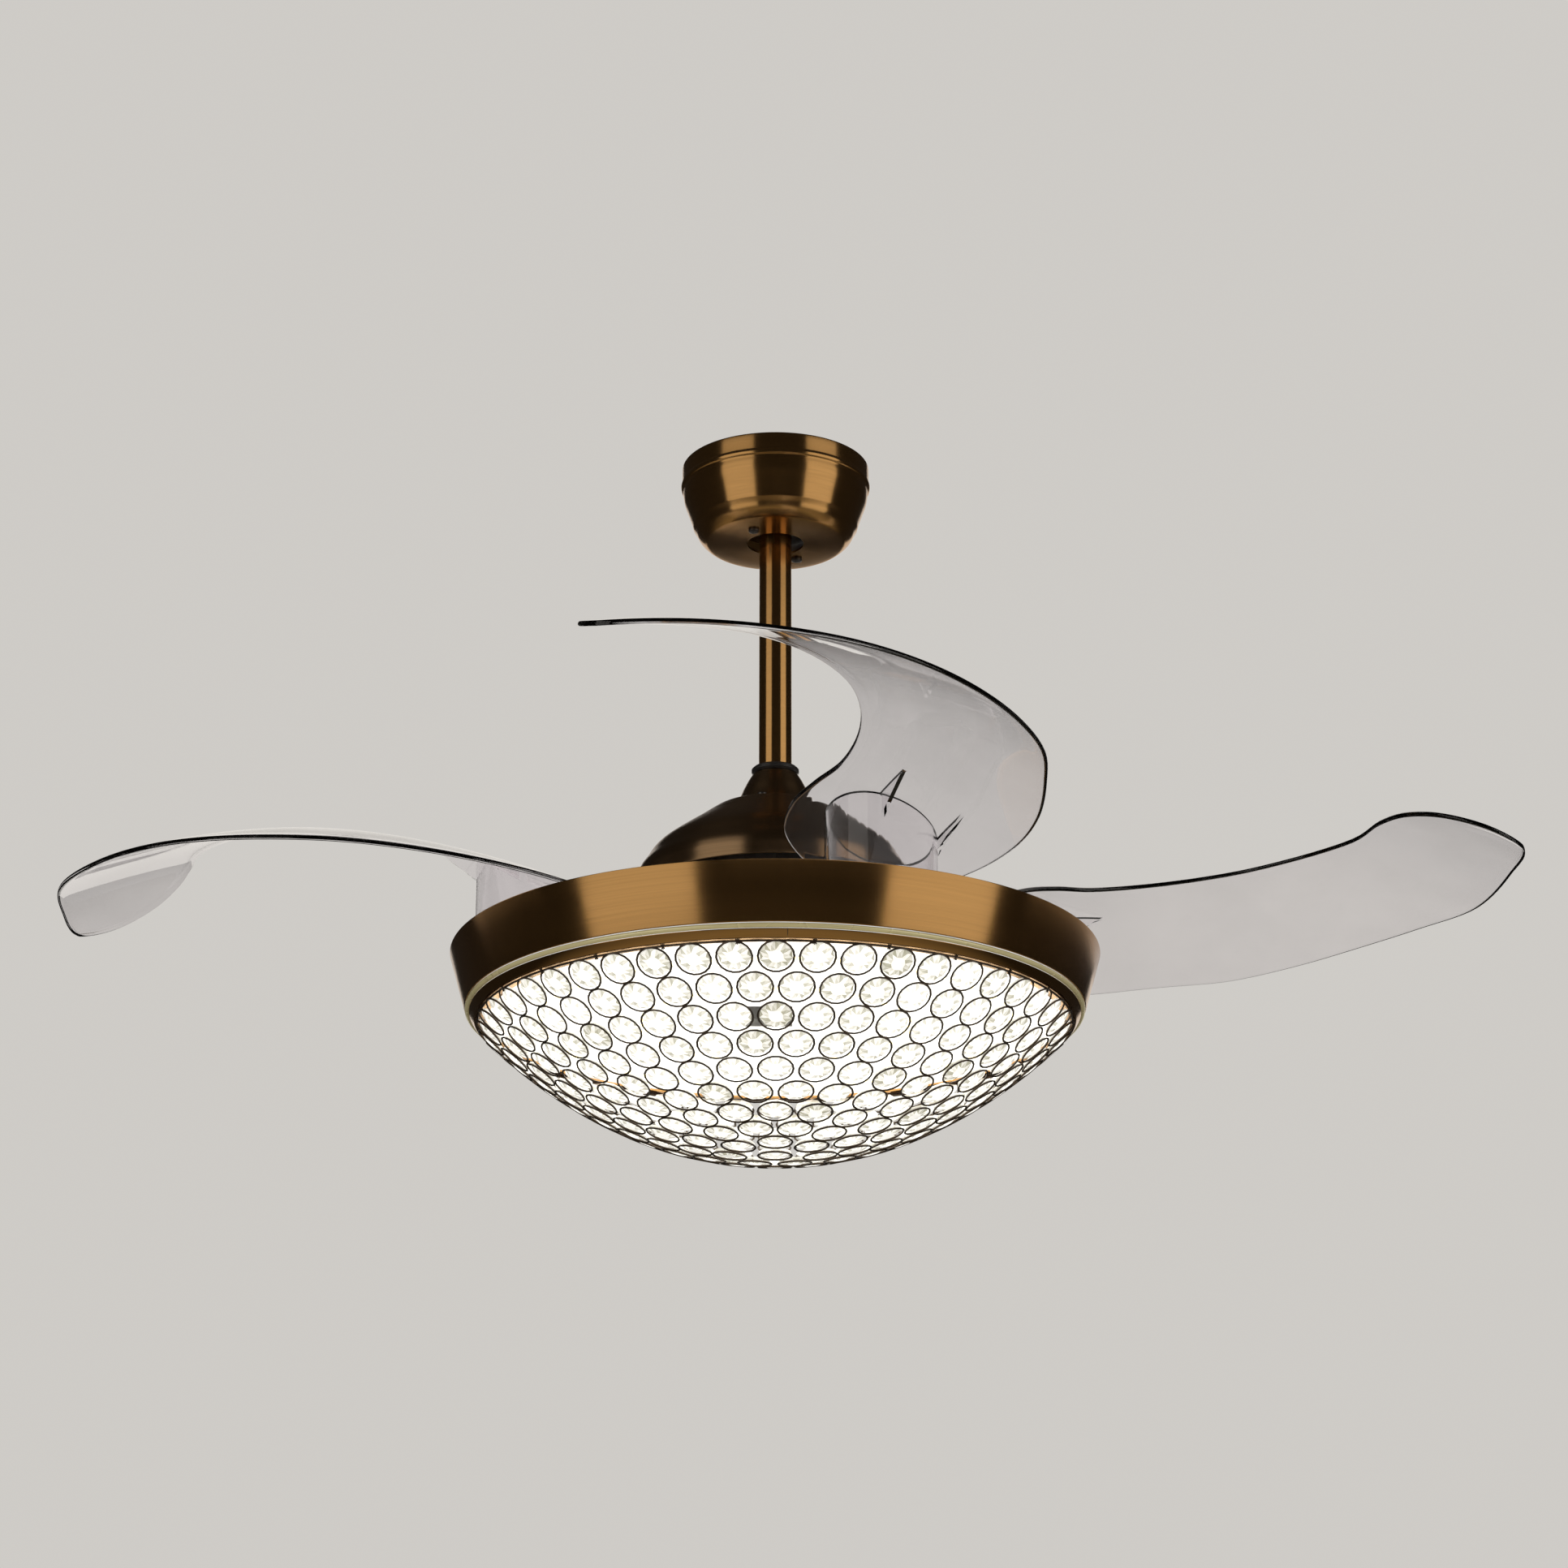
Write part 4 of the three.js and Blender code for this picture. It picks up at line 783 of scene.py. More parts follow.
@dataclass
class Suspension(Assembly):
    """Ball, rod, collar, bell, dome and the dome's screws."""

    rod_radius: float = 12.0
    rod_wall: float = 1.75
    bell_wall: float = 1.2
    dome_wall: float = 1.5

    def ball(self) -> Surface:
        """Sphere cut flat above and below, bored for the rod."""
        span = Span.of("hanger_ball")
        radius = span.radius
        centre = -31.0
        angles = np.arccos(np.clip((np.array([span.top, span.bottom]) - centre) / radius, -1, 1))
        sweep = np.linspace(*angles, 28)
        outer = np.stack([radius * np.sin(sweep), centre + radius * np.cos(sweep)], 1)
        bore = np.array([(12.3, span.bottom), (12.3, span.top)])
        return revolved(np.concatenate([outer, bore]), 96)

    def rod(self) -> Surface:
        """Steel tube with eased ends."""
        span = Span.of("downrod")
        r, t = self.rod_radius, self.rod_wall
        corners = [(r, span.top), (r, span.bottom), (r - t, span.bottom), (r - t, span.top)]
        return revolved(rounded(corners, 0.4, 3), 96)

    def collar(self) -> Surface:
        """Black bead: a rounded ring with a narrow groove round its middle."""
        span = Span.of("rod_collar")
        r, top, low = span.radius, span.top, span.bottom
        middle = (top + low) / 2
        corners = [
            (12.3, top), (r - 1.6, top), (r, top - 1.6), (r, middle + 0.35), (r - 0.35, middle),
            (r, middle - 0.35), (r, low + 1.6), (r - 1.5, low), (12.3, low),
        ]
        return revolved(rounded(corners, 0.5, 3), 96)

    def bell(self) -> Surface:
        """Neck that flares out in a long hollow curve to a small rolled rim."""
        span = Span.of("coupling_cover")
        r, top, low = span.radius, span.top, span.bottom
        line = [
            (12.4, top), (15.6, top), (16.9, top - 0.9), (18.0, top - 2.6), (19.6, top - 5.2),
            (21.4, top - 8.6), (23.2, low + 15.6), (25.4, low + 10.4), (28.0, low + 5.6),
            (30.6, low + 2.4), (r, low + 0.9), (r, low),
        ]
        return revolved(walled(curve(line, 6), self.bell_wall), 128)

    def dome(self) -> Surface:
        """Motor cover: a small flat, a long full curve and a straight skirt, its edge turned in."""
        span = Span.of("motor_dome")
        r, top, low = span.radius, span.top, span.bottom
        line = [
            (15.8, top), (30, top), (43, top - 0.6), (52, top - 6.0), (60, top - 11.8),
            (72, top - 20.0), (83.8, top - 28.6), (89.8, top - 34.6), (94.5, top - 42.0),
            (98.6, top - 48.0), (r - 0.1, top - 53.5), (r, top - 58.0), (r, low + 1.2),
            (r - 0.5, low),
        ]
        return revolved(walled(curve(line, 6), self.dome_wall), 192)

    def dome_screw(self, x: float, y: float, seat: float, top: float) -> Surface:
        """Round head with a cross recess over a short shank."""
        line = [(0, top), (2.6, top), (3.6, top - 0.8), (3.6, seat), (0, seat)]
        head = rounded(line, 0.4, 3, False)
        shank = np.array([(0, seat), (2, seat), (2, seat - 7.2), (0, seat - 7.4)])
        return cross_screw(head, shank, (4.2, 0.8, 0.5), top).moved(by=(x, y, 0))

    def build(self) -> None:
        """Places every piece."""
        for name, finish, slot, node, shape in (
            ("hanger_ball_smooth", "nylon", "nylon", "hanger_ball", self.ball()),
            ("downrod_tube", "brushed_brass", "brushed_brass", "downrod", self.rod()),
            ("collar_bead", "black_moulding", "black_plastic", "rod_collar", self.collar()),
            # The bell and the dome take the brass darkened as painted shade.
            ("bell", "brass_painted_dark", "brushed_brass", "coupling_cover", self.bell()),
            ("dome", "brass_painted_dark", "brushed_brass", "motor_dome", self.dome()),
        ):
            self.add(name, finish, slot, shape, (node,))
        for number in range(1, 5):
            node = f"dome_screw_{number}"
            span = Span.of(node)
            x, y, _ = span.centre
            seat = Span.of("motor_dome").top
            shape = self.dome_screw(x, y, seat, span.top)
            self.add(f"{node}_detail", "oiled_steel", "dark_steel", shape, (node,))


# ---- Drum, bead, lip and light -----------------------------------------------------------------


@dataclass
class Drum(Assembly):
    """Brushed band, the pan inside it, the pale bead and the lip with its seam."""

    wall: float = 1.5
    seam_azimuth: float = -88.0

    def band(self) -> Surface:
        """Leaning band with a rolled top edge."""
        span = Span.of("drum_band")
        foot = Span.of("trim_ring").radius + 0.8
        corners = [
            (span.radius - self.wall, span.top), (span.radius, span.top), (foot, span.bottom),
            (foot - self.wall, span.bottom),
        ]
        return revolved(rounded(corners, 0.6, 4), 256)

    def pan(self) -> Surface:
        """Flat pan with an upturned rim that follows the band."""
        span = Span.of("light_pan")
        r, low, top = span.radius, span.bottom, span.top
        t = self.wall
        corners = [
            (10.3, low), (r - 2.4, low), (r, top), (r - t, top), (r - 3.6, low + t),
            (10.3, low + t),
        ]
        return revolved(rounded(corners, 1.0, 4), 192)

    def bead(self) -> Surface:
        """Half-round bead: an oval section of forty points."""
        span = Span.of("trim_ring")
        middle = 219.0
        around = np.linspace(0, TURN, 20, endpoint=False)
        half = (span.top - span.bottom) / 2 + 0.2
        oval = np.stack([middle + 2.2 * np.cos(around), span.centre[2] + half * np.sin(around)], 1)
        return revolved(oval, 256)

    def lip(self) -> Surface:
        """Polished lip with eased edges and the ledge that carries the light plate."""
        span = Span.of("lower_lip")
        r, top, low = span.radius, span.top, span.bottom
        t = self.wall
        corners = [
            (r - t, top), (r, top), (r - 4, low), (204, low), (204, low + t), (r - 4 - t, low + t),
        ]
        return revolved(rounded(corners, 0.45, 4), 256)

    def seam(self) -> Surface:
        """Joint line where the lip's strip meets end to end: a thin proud strip across it."""
        span = Span.of("lower_lip")
        r, top, low = span.radius, span.top, span.bottom
        angle = math.radians(self.seam_azimuth)
        lean = np.linspace(0, 1, 6)[:, None]
        ends = np.array([[r + 0.05, 0, top - 0.5], [r - 3.95, 0, low + 0.5]])
        path = ends[0] + lean * (ends[1] - ends[0])
        return tube(path, 0.22, 6).moved(angle)

    def build(self) -> None:
        """Places the four turned pieces and the seam."""
        brass = "brushed_brass"
        self.add("drum_band_brushed", brass, brass, self.band(), ("drum_band",))
        self.add("light_pan_pressed", "zinc_plate", "zinc_steel", self.pan(), ("light_pan",))
        self.add("trim_bead", "pale_bead", "pale_brass", self.bead(), ("trim_ring",))
        self.add("lip_polished", "polished_lip", brass, self.lip(), ("lower_lip",))
        self.add("lip_seam", "oiled_steel", brass, self.seam())


@dataclass
class LightPlate(Assembly):
    """White plate with two rings of light strip, each strip with its row of LEDs."""

    chips: tuple[int, int] = (72, 40)
    chip_size: tuple[float, float, float] = (5.0, 5.0, 0.9)
    strip_width: float = 14.0

    def plate(self) -> Surface:
        """Thin disc with a rolled edge."""
        span = Span.of("light_plate")
        return revolved(rounded(flat_ring(0, span), 0.5, 3, False), 128, False)

    def strip(self, node: str) -> Surface:
        """Flat ring of circuit board."""
        span = Span.of(node)
        return revolved(rounded(flat_ring(span.radius - self.strip_width, span), 0.3, 2), 128)

    def leds(self, node: str, count: int) -> Surface:
        """Square chips spaced evenly along the middle of a strip, facing down."""
        span = Span.of(node)
        middle = span.radius - self.strip_width / 2
        angles = np.linspace(0, TURN, count, endpoint=False)
        outward = np.stack([np.cos(angles), np.sin(angles), 0 * angles], 1)
        centres = outward * middle + np.array([0, 0, span.bottom - self.chip_size[2] / 2 + 0.1])
        down = np.tile([[0.0, 0.0, -1.0]], (count, 1))
        return block(self.chip_size, (0, 0, 0), 0.25).copied(centres, axes_on(down, outward))

    def build(self) -> None:
        """Places the plate, the strips and their LEDs."""
        # The plate and the boards glow as painted light; only the LED chips are lamps.
        self.add("light_plate_disc", "lit_plate", "white_paint", self.plate(), ("light_plate",))
        for number, count in enumerate(self.chips, 1):
            node = f"led_strip_{number}"
            self.add(f"{node}_board", "circuit_white", "led_light", self.strip(node), (node,))
            self.add(f"{node}_leds", "led_phosphor", "led_light", self.leds(node, count))


@dataclass
class CrystalBowl(Assembly):
    """Bowl of cut crystals, each in a wire ring soldered to its neighbours, hung from a hoop."""

    fullness: float = 2.15
    first_row: float = 12.6
    row_pitch: float = 24.2
    ring_pitch: float = 27.6
    ring_radius: float = 12.9
    wire_radius: float = 0.8
    crystal_height: float = 7.0
    front: float = -math.pi / 2
    hoop_knots: int = 26

    def line(self) -> tuple[np.ndarray, np.ndarray, np.ndarray]:
        """The bowl's section as radius, height and distance along it from the rim.

        Height falls by depth * (1 - (radius / rim) ** fullness).
        """
        span = Span.of("crystal_bowl")
        rim = span.radius - self.wire_radius - 0.2
        depth = span.top - span.bottom - 1.9
        radius = np.linspace(rim, 0, 600)
        height = span.top - 0.8 - depth * (1 - (radius / rim) ** self.fullness)
        along = np.r_[0, np.cumsum(np.hypot(np.diff(radius), np.diff(height)))]
        return radius, height, along

    def places(self) -> tuple[np.ndarray, np.ndarray, np.ndarray]:
        """Centre, outward normal and ring radius of every crystal.

        Rows lie at even distances down the section. Each row holds as many rings of one pitch as
        its circle takes, the odd rows set off by half a ring at the front, and one crystal closes
        the bottom.
        """
        radius, height, along = self.line()
        rows = np.arange(self.first_row, along[-1] - self.row_pitch, self.row_pitch)
        centres, normals, sizes = [], [], []
        slope_z = np.gradient(height, along)
        slope_r = np.gradient(radius, along)
        for number, distance in enumerate(rows):
            r, z = np.interp(distance, along, radius), np.interp(distance, along, height)
            dr, dz = np.interp(distance, along, slope_r), np.interp(distance, along, slope_z)
            count = int(round(TURN * r / self.ring_pitch))
            half_step = 0.5 * (number % 2) * TURN / count
            angle = self.front + half_step + np.arange(count) * TURN / count
            outward = np.stack([np.cos(angle), np.sin(angle), 0 * angle], 1)
            centres.append(outward * r + np.array([0, 0, z]))
            normals.append(outward * -dz + np.array([0, 0, dr]))
            sizes.append(np.full(count, min(self.ring_radius, r * math.sin(math.pi / count))))
        centres.append(np.array([[0, 0, height[-1]]]))
        normals.append(np.array([[0, 0, -1.0]]))
        sizes.append(np.array([self.ring_radius]))
        return np.concatenate(centres), np.concatenate(normals), np.concatenate(sizes)

    def crystal(self) -> Surface:
        """Round cut of radius 1: a flat table, eight kite facets, a girdle and a shallow back.

        Every facet has its own tone, so neighbours glow differently, as painted glints.
        """
        n = 10
        angle = np.linspace(0, TURN, n, endpoint=False)

        def circle(radius: float, height: float, turn: float = 0.0) -> np.ndarray:
            """A ring of n corners."""
            a = angle + turn
            return np.stack([radius * np.cos(a), radius * np.sin(a), height + 0 * a], 1)

        step = math.pi / n
        table, crown = circle(0.44, 0.06), circle(0.76, -0.03, step)
        girdle, back = circle(1.0, -0.16), circle(1.0, -0.24)
        after = np.roll(np.arange(n), -1)
        rings = [
            np.stack([table, crown, table[after]], 1),
            np.stack([table, girdle, crown], 1),
            np.stack([crown, girdle[after], table[after]], 1),
            np.stack([crown, girdle, girdle[after]], 1),
        ]
        triangles = np.concatenate(rings)
        band = np.stack([girdle, back, back[after], girdle[after]], 1)
        pit = np.tile(np.array([[0, 0, -0.42]]), (n, 1))
        under = np.stack([back, pit, back[after]], 1)
        triangles = np.concatenate([triangles, under])
        shift = (np.arange(len(triangles)) * 0.618) % 1.0
        points = [triangles.reshape(-1, 3), band.reshape(-1, 3), table]
        starts = np.cumsum([0, *(len(p) for p in points)])
        faces = [
            np.arange(starts[1]).reshape(-1, 3),
            starts[1] + np.arange(4 * n).reshape(-1, 4),
            starts[2] + np.arange(n)[None, :],
        ]
        tones = [0.2 + 0.8 * shift, np.full(n, 0.5), np.array([0.95])]
        return Surface(np.concatenate(points), faces, tones)

    def wire(self) -> Surface:
        """A wire ring of outer radius 1 in the crystal's plane, eighteen steps of four sides."""
        around = np.linspace(0, TURN, 18, endpoint=False)[:, None]
        section = np.linspace(0, TURN, 4, endpoint=False)[None, :]
        thick = self.wire_radius / self.ring_radius
        radius = 1 - thick + thick * np.cos(section)
        height = thick * np.sin(section) + 0 * around
        points = [radius * np.cos(around), radius * np.sin(around), height]
        return grid(np.stack(points, -1), True, True)

    def hoop(self) -> Surface:
        """Wire hoop under the lip, with small twisted knots that tie the first row to it."""
        radius, height, _ = self.line()
        around = np.linspace(0, TURN, 160, endpoint=False)
        reach = radius[0] - 1.2
        level = 0 * around + height[0] - 0.2
        ring = np.stack([reach * np.cos(around), reach * np.sin(around), level], 1)
        knots = []
        for number in range(self.hoop_knots):
            angle = self.front + (number + 0.5) * TURN / self.hoop_knots
            for tilt in (-0.7, 0.0, 0.7):
                reach_out = np.array([math.sin(tilt), 0.45, math.cos(tilt)])
                path = np.linspace(-1.9, 1.9, 3)[:, None] * reach_out + np.array([0, 0.3, 0])
                knot = tube(path, 0.42, 5).moved(angle - math.pi / 2)
                place = (reach * math.cos(angle), reach * math.sin(angle), height[0] - 0.6)
                knots.append(knot.moved(by=place))
        return joined([tube(ring, 0.75, 6, True), *knots])

    def build(self) -> None:
        """Places the crystals, their wire rings and the hoop."""
        centres, normals, sizes = self.places()
        heading = np.cross(normals, np.array([[0.0, 0.0, 1.0]]))
        heading[np.linalg.norm(heading, axis=1) < 1e-6] = (1, 0, 0)
        frames = axes_on(normals, heading)
        ring_frames = frames * sizes[:, None, None]
        crystal_scale = sizes * (1 - 2 * self.wire_radius / self.ring_radius) + 0.1
        spread = np.random.default_rng(7).uniform(0, TURN / 10, len(sizes))
        turned = self.turned_frames(frames, spread) * crystal_scale[:, None, None]
        crystals = self.crystal().copied(centres, turned)
        crystals.tone = self.varied_tone(crystals.tone, len(sizes))
        self.add("bowl_crystals", "lit_crystal", "crystal", crystals, ("crystal_bowl",), 5)
        wires = self.wire().copied(centres, ring_frames)
        self.add("bowl_wire_rings", "wire_bronze", "crystal", wires, crease=60)
        self.add("bowl_hoop", "wire_bronze", "crystal", self.hoop(), crease=60)
        log.info("bowl: %d crystals", len(sizes))

    @staticmethod
    def turned_frames(frames: np.ndarray, angles: np.ndarray) -> np.ndarray:
        """Turns each frame about its own third axis."""
        c, s = np.cos(angles), np.sin(angles)
        zero, one = np.zeros_like(c), np.ones_like(c)
        rows = [np.stack(row, 1) for row in ([c, -s, zero], [s, c, zero], [zero, zero, one])]
        return frames @ np.stack(rows, 1)

    @staticmethod
    def varied_tone(tone: list[np.ndarray], count: int) -> list[np.ndarray]:
        """Shifts the painted glow of each crystal's facets a little, and dims the painted glow of
        one crystal in nine or so.
        """
        dice = np.random.default_rng(11)
        each = dice.uniform(-0.12, 0.1, count) - 0.15 * (dice.uniform(0, 1, count) > 0.9)
        shifted = (group.reshape(count, -1) + each[:, None] for group in tone)
        return [np.clip(group, 0.05, 1).ravel() for group in shifted]


# ---- Blades and their carrier --------------------------------------------------------------------


@dataclass
class Blade(Assembly):
    """One clear blade about its pivot, with +X away from the fan's axis, and its four copies."""

    fold_angle: float = -117.0
    low_z: float = -361.5
    guide_radius: float = 232.0
    tilt: float = 0.479
    ease: float = 0.000715
    rise_per_quarter: float = 12.0
    thickness: float = 3.0
    edge_bead: float = 0.7
    edge_inset: float = 0.4
    rows: int = 110
    boss_radius: float = 38.5
    boss_wall: float = 2.5
    hub_radius: float = 13.5
    bore_radius: float = 8.3
    floor: float = 3.0
    gussets: tuple = ((-15.0, 72.0, 18.0), (34.0, 58.0, 10.0))
    root_index: int = 12
    outline: tuple = (
        (254, -298), (280, -244), (296, -173), (284, -112), (263, -59), (236, -14), (200, 24),
        (156, 48), (104, 68), (58, 74), (9, 67), (-29, 50), (-54, 15), (-65, -23), (-44, -53),
        (-14, -60), (13, -56), (44, -50), (81, -54), (118, -68), (152, -93), (180, -133),
        (194, -177), (191, -217), (192, -250), (203, -281), (226, -301),
    )

    def height(self, x: np.ndarray, y: np.ndarray) -> np.ndarray:
        """Middle height of the blade over a point about its pivot.

        It is a dish about the fan's axis in the folded place: it rises by the tilt for each
        millimetre inward, less an ease that grows with the square, and by a set amount for
        each quarter turn.
        """
        turn = math.radians(self.fold_angle)
        folded_x = PIVOT_RADIUS + x * math.cos(turn) - y * math.sin(turn)
        folded_y = x * math.sin(turn) + y * math.cos(turn)
        radius = np.hypot(folded_x, folded_y)
        swept = np.degrees(-np.arctan2(folded_y, folded_x))
        swept = np.where(swept < -60, swept + 360, swept)
        inward = self.guide_radius - radius
        rise = self.rise_per_quarter * swept / 90
        return self.low_z + rise + self.tilt * inward - self.ease * inward**2

    def edge_points(self, place: np.ndarray) -> np.ndarray:
        """Points of the closed outline at given places, counted in corners.

        The curve is a centripetal Catmull-Rom: its knots lie apart by the square root of the
        distance between corners, and each stretch is a cubic with the tangents that they give.
        """
        corners = np.array(self.outline, float)
        count = len(corners)
        index = np.floor(place).astype(int) % count
        t = (place % 1.0)[:, None]
        p0, p1, p2, p3 = (corners[(index + k) % count] for k in (-1, 0, 1, 2))
        pairs = ((p0, p1), (p1, p2), (p2, p3))
        d0, d1, d2 = (np.sqrt(np.linalg.norm(b - a, axis=1))[:, None] for a, b in pairs)
        m1 = ((p1 - p0) / d0 - (p2 - p0) / (d0 + d1) + (p2 - p1) / d1) * d1
        m2 = ((p2 - p1) / d1 - (p3 - p1) / (d1 + d2) + (p3 - p2) / d2) * d1
        cubic = (2 * p1 - 2 * p2 + m1 + m2) * t**3 + (3 * p2 - 3 * p1 - 2 * m1 - m2) * t**2
        return cubic + m1 * t + p1

    def plate(self) -> Surface:
        """Curved plate with a rounded edge and a slightly thicker rim.

        One parameter runs from root to tip, the other round the section: half the thickness is
        e * sin(angle) within e of an edge, and the rim adds a bead that fades in 5 mm.
        """
        along = (1 - np.cos(np.linspace(0, math.pi, self.rows))) / 2
        count = len(self.outline)
        outer = self.edge_points(self.root_index * (1 - along))
        inner = self.edge_points(self.root_index + (count - self.root_index) * along)
        chord = np.linalg.norm(inner - outer, axis=1)[:, None]
        heading = (inner - outer) / np.maximum(chord, 1e-9)
        outer = outer + heading * np.minimum(self.edge_inset, chord / 2)
        chord = np.maximum(chord - 2 * self.edge_inset, 0)
        half = self.thickness / 2 + self.edge_bead / 2
        arc = np.linspace(0, math.pi / 2, 5)
        near = half * (1 - np.cos(arc))
        inner_part = np.linspace(0, 1, 22)[1:-1]
        reach = np.minimum(half, chord / 2)
        start = near[None, :] / half * reach
        middle = reach + (chord - 2 * reach) * inner_part[None, :]
        distance = np.concatenate([start, middle, chord - start[:, ::-1]], 1)
        edge = np.minimum(distance, chord - distance)
        body = self.thickness / 2 + self.edge_bead / 2 * np.exp(-((edge / 5.0) ** 2))
        roundness = np.sqrt(np.clip(1 - (1 - np.clip(edge / half, 0, 1)) ** 2, 0, 1))
        lift = body * roundness
        flat = outer[:, None] + heading[:, None] * distance[..., None]
        level = self.height(flat[..., 0], flat[..., 1])
        above = np.concatenate([flat, (level + lift)[..., None]], -1)
        below = np.concatenate([flat, (level - lift)[..., None]], -1)[:, -2:0:-1]
        return grid(np.concatenate([above, below], 1), False, True)

    def boss(self, bottom: float, hub_top: float) -> Surface:
        """Clear cup: a round wall up to the blade, a floor and a bored hub in its middle."""
        angles = np.linspace(0, TURN, 96, endpoint=False)
        inner = self.boss_radius - self.boss_wall
        cos, sin = np.cos(angles), np.sin(angles)

        def top(radius: float) -> np.ndarray:
            """Height of the blade's middle round a circle."""
            return self.height(radius * cos, radius * sin)

        floor_top = bottom + self.floor
        flat = np.ones_like(angles)
        columns = [
            (self.bore_radius, bottom * flat), (self.boss_radius - 0.8, bottom * flat),
            (self.boss_radius, (bottom + 0.8) * flat), (self.boss_radius, top(self.boss_radius)),
            (inner, top(inner)), (inner, (floor_top + 1.2) * flat), (inner - 1.2, floor_top * flat),
            (self.hub_radius, floor_top * flat), (self.hub_radius, hub_top * flat),
            (self.bore_radius, hub_top * flat),
        ]
        rings = np.stack([np.stack([r * cos, r * sin, z], 1) for r, z in columns], 1)
        return grid(rings, True, True)

    def gusset(self, offset: float, reach: float, depth: float) -> Surface:
        """Thin upright wedge along X from the boss's wall, hanging from the middle of the blade."""
        start = math.sqrt((self.boss_radius - self.boss_wall / 2) ** 2 - offset**2)
        share = np.linspace(0, 1, 12)
        x = start + (reach - start) * share
        rings = []
        for side, low in ((-1.25, False), (1.25, False), (1.25, True), (-1.25, True)):
            y = offset + side + 0 * x
            drop = (1.3 + depth * (1 - share)) if low else 0 * share
            rings.append(np.c_[x, y, self.height(x, y) - drop])
        body = grid(np.stack(rings, 1), False, True)
        body.faces += [np.array([[3, 2, 1, 0]]), 44 + np.array([[0, 1, 2, 3]])]
        return body

    def moulding(self) -> bpy.types.Mesh:
        """Plate, boss and gussets cut into one closed clear solid."""
        span = Span.of("blade_1")
        bottom = span.bottom
        hub_top = Span.of("pivot_post_1").top - 0.3
        gussets = [self.gusset(*sizes) for sizes in self.gussets]
        shapes = [self.plate(), self.boss(bottom, hub_top), *gussets]
        solids = []
        for number, shape in enumerate(shapes):
            name = f"moulding_{number}"
            solid = bpy.data.objects.new(name, make_mesh(name, shape))
            bpy.context.scene.collection.objects.link(solid)
            solids.append(solid)
        for other in solids[1:]:
            union = solids[0].modifiers.new("union", "BOOLEAN")
            union.operation, union.solver, union.object = "UNION", "EXACT", other
        bpy.context.view_layer.update()
        graph = bpy.context.evaluated_depsgraph_get()
        whole = bpy.data.meshes.new_from_object(solids[0].evaluated_get(graph))
        for solid in solids:
            bpy.data.objects.remove(solid)
        return whole

    def build(self) -> None:
        """Places the four copies of the moulding at their pivots."""
        whole = self.moulding()
        clear = self.finishes["clear_acrylic"]
        for number, azimuth, place in pivots():
            mesh = whole.copy()
            shift = Matrix.Translation([MM * value for value in place])
            mesh.transform(shift @ Matrix.Rotation(azimuth, 4, "Z"))
            node = f"blade_{number}"
            Piece(f"{node}_moulding", node, clear, "clear_plastic", (node,), 38).place(mesh)


@dataclass
class Pivots(Assembly):
    """Dished carrier with four flanged posts, their caps and coiled return springs."""

    spring_turns: int = 5
    body: str = "rotor"

    def carrier(self) -> Surface:
        """Pressed dish: a hub ring, a long slope and a flat rim, with rounded bends."""
        span = Span.of("blade_carrier")
        top, r = span.top, span.radius
        t = 3.0
        flat = span.bottom + t
        corners = [
            (42, top), (84, top), (144, flat), (r, flat), (r, flat - t), (144 - t / 2, flat - t),
            (84 - t / 2, top - t), (42, top - t),
        ]
        return revolved(rounded(corners, (0.6, 5, 6, 1, 1, 6, 5, 0.6), 5), 192)

    def post(self, low: float, top: float) -> Surface:
        """Flanged post with eased edges."""
        corners = [(0, low), (15, low), (15, low + 2.4), (8, low + 2.4), (8, top), (0, top)]
        return revolved(rounded(corners, 0.5, 3, False), 48, False)

    def cap(self, low: float, top: float) -> Surface:
        """Domed cap."""
        line = curve([(12.5, low), (12.5, low + 1.6), (11.2, top - 0.7), (7.0, top), (0, top)], 5)
        return revolved(np.concatenate([[(0, low)], line]), 48, False)

    def spring(self, low: float, top: float) -> Surface:
        """Torsion spring: a wire helix of even pitch between two flat ends."""
        turns = self.spring_turns
        sweep = np.linspace(0, turns * TURN, turns * 28)
        wire = 1.3
        height = low + wire + (top - low - 2 * wire) * sweep / sweep[-1]
        path = np.stack([18.6 * np.cos(sweep), 18.6 * np.sin(sweep), height], 1)
        return tube(path, wire, 8)

    def build(self) -> None:
        """Places the carrier and, at each pivot, the post, cap and spring."""
        cast = "cast_aluminium"
        self.add("blade_carrier_pressed", cast, cast, self.carrier(), ("blade_carrier",))
        makers: dict[str, tuple[Callable[[float, float], Surface], str, str]] = {
            "pivot_post": (self.post, "zinc_plate", "zinc_steel"),
            "pivot_cap": (self.cap, "oiled_steel", "dark_steel"),
            "return_spring": (self.spring, "oiled_steel", "dark_steel"),
        }
        for number, azimuth, place in pivots():
            for kind, (maker, finish, slot) in makers.items():
                node = f"{kind}_{number}"
                span = Span.of(node)
                shape = maker(span.bottom, span.top).moved(azimuth, place)
                self.add(f"{node}_detail", finish, slot, shape, (node,))


# ---- Frame nodes that keep their solids ----------------------------------------------------------


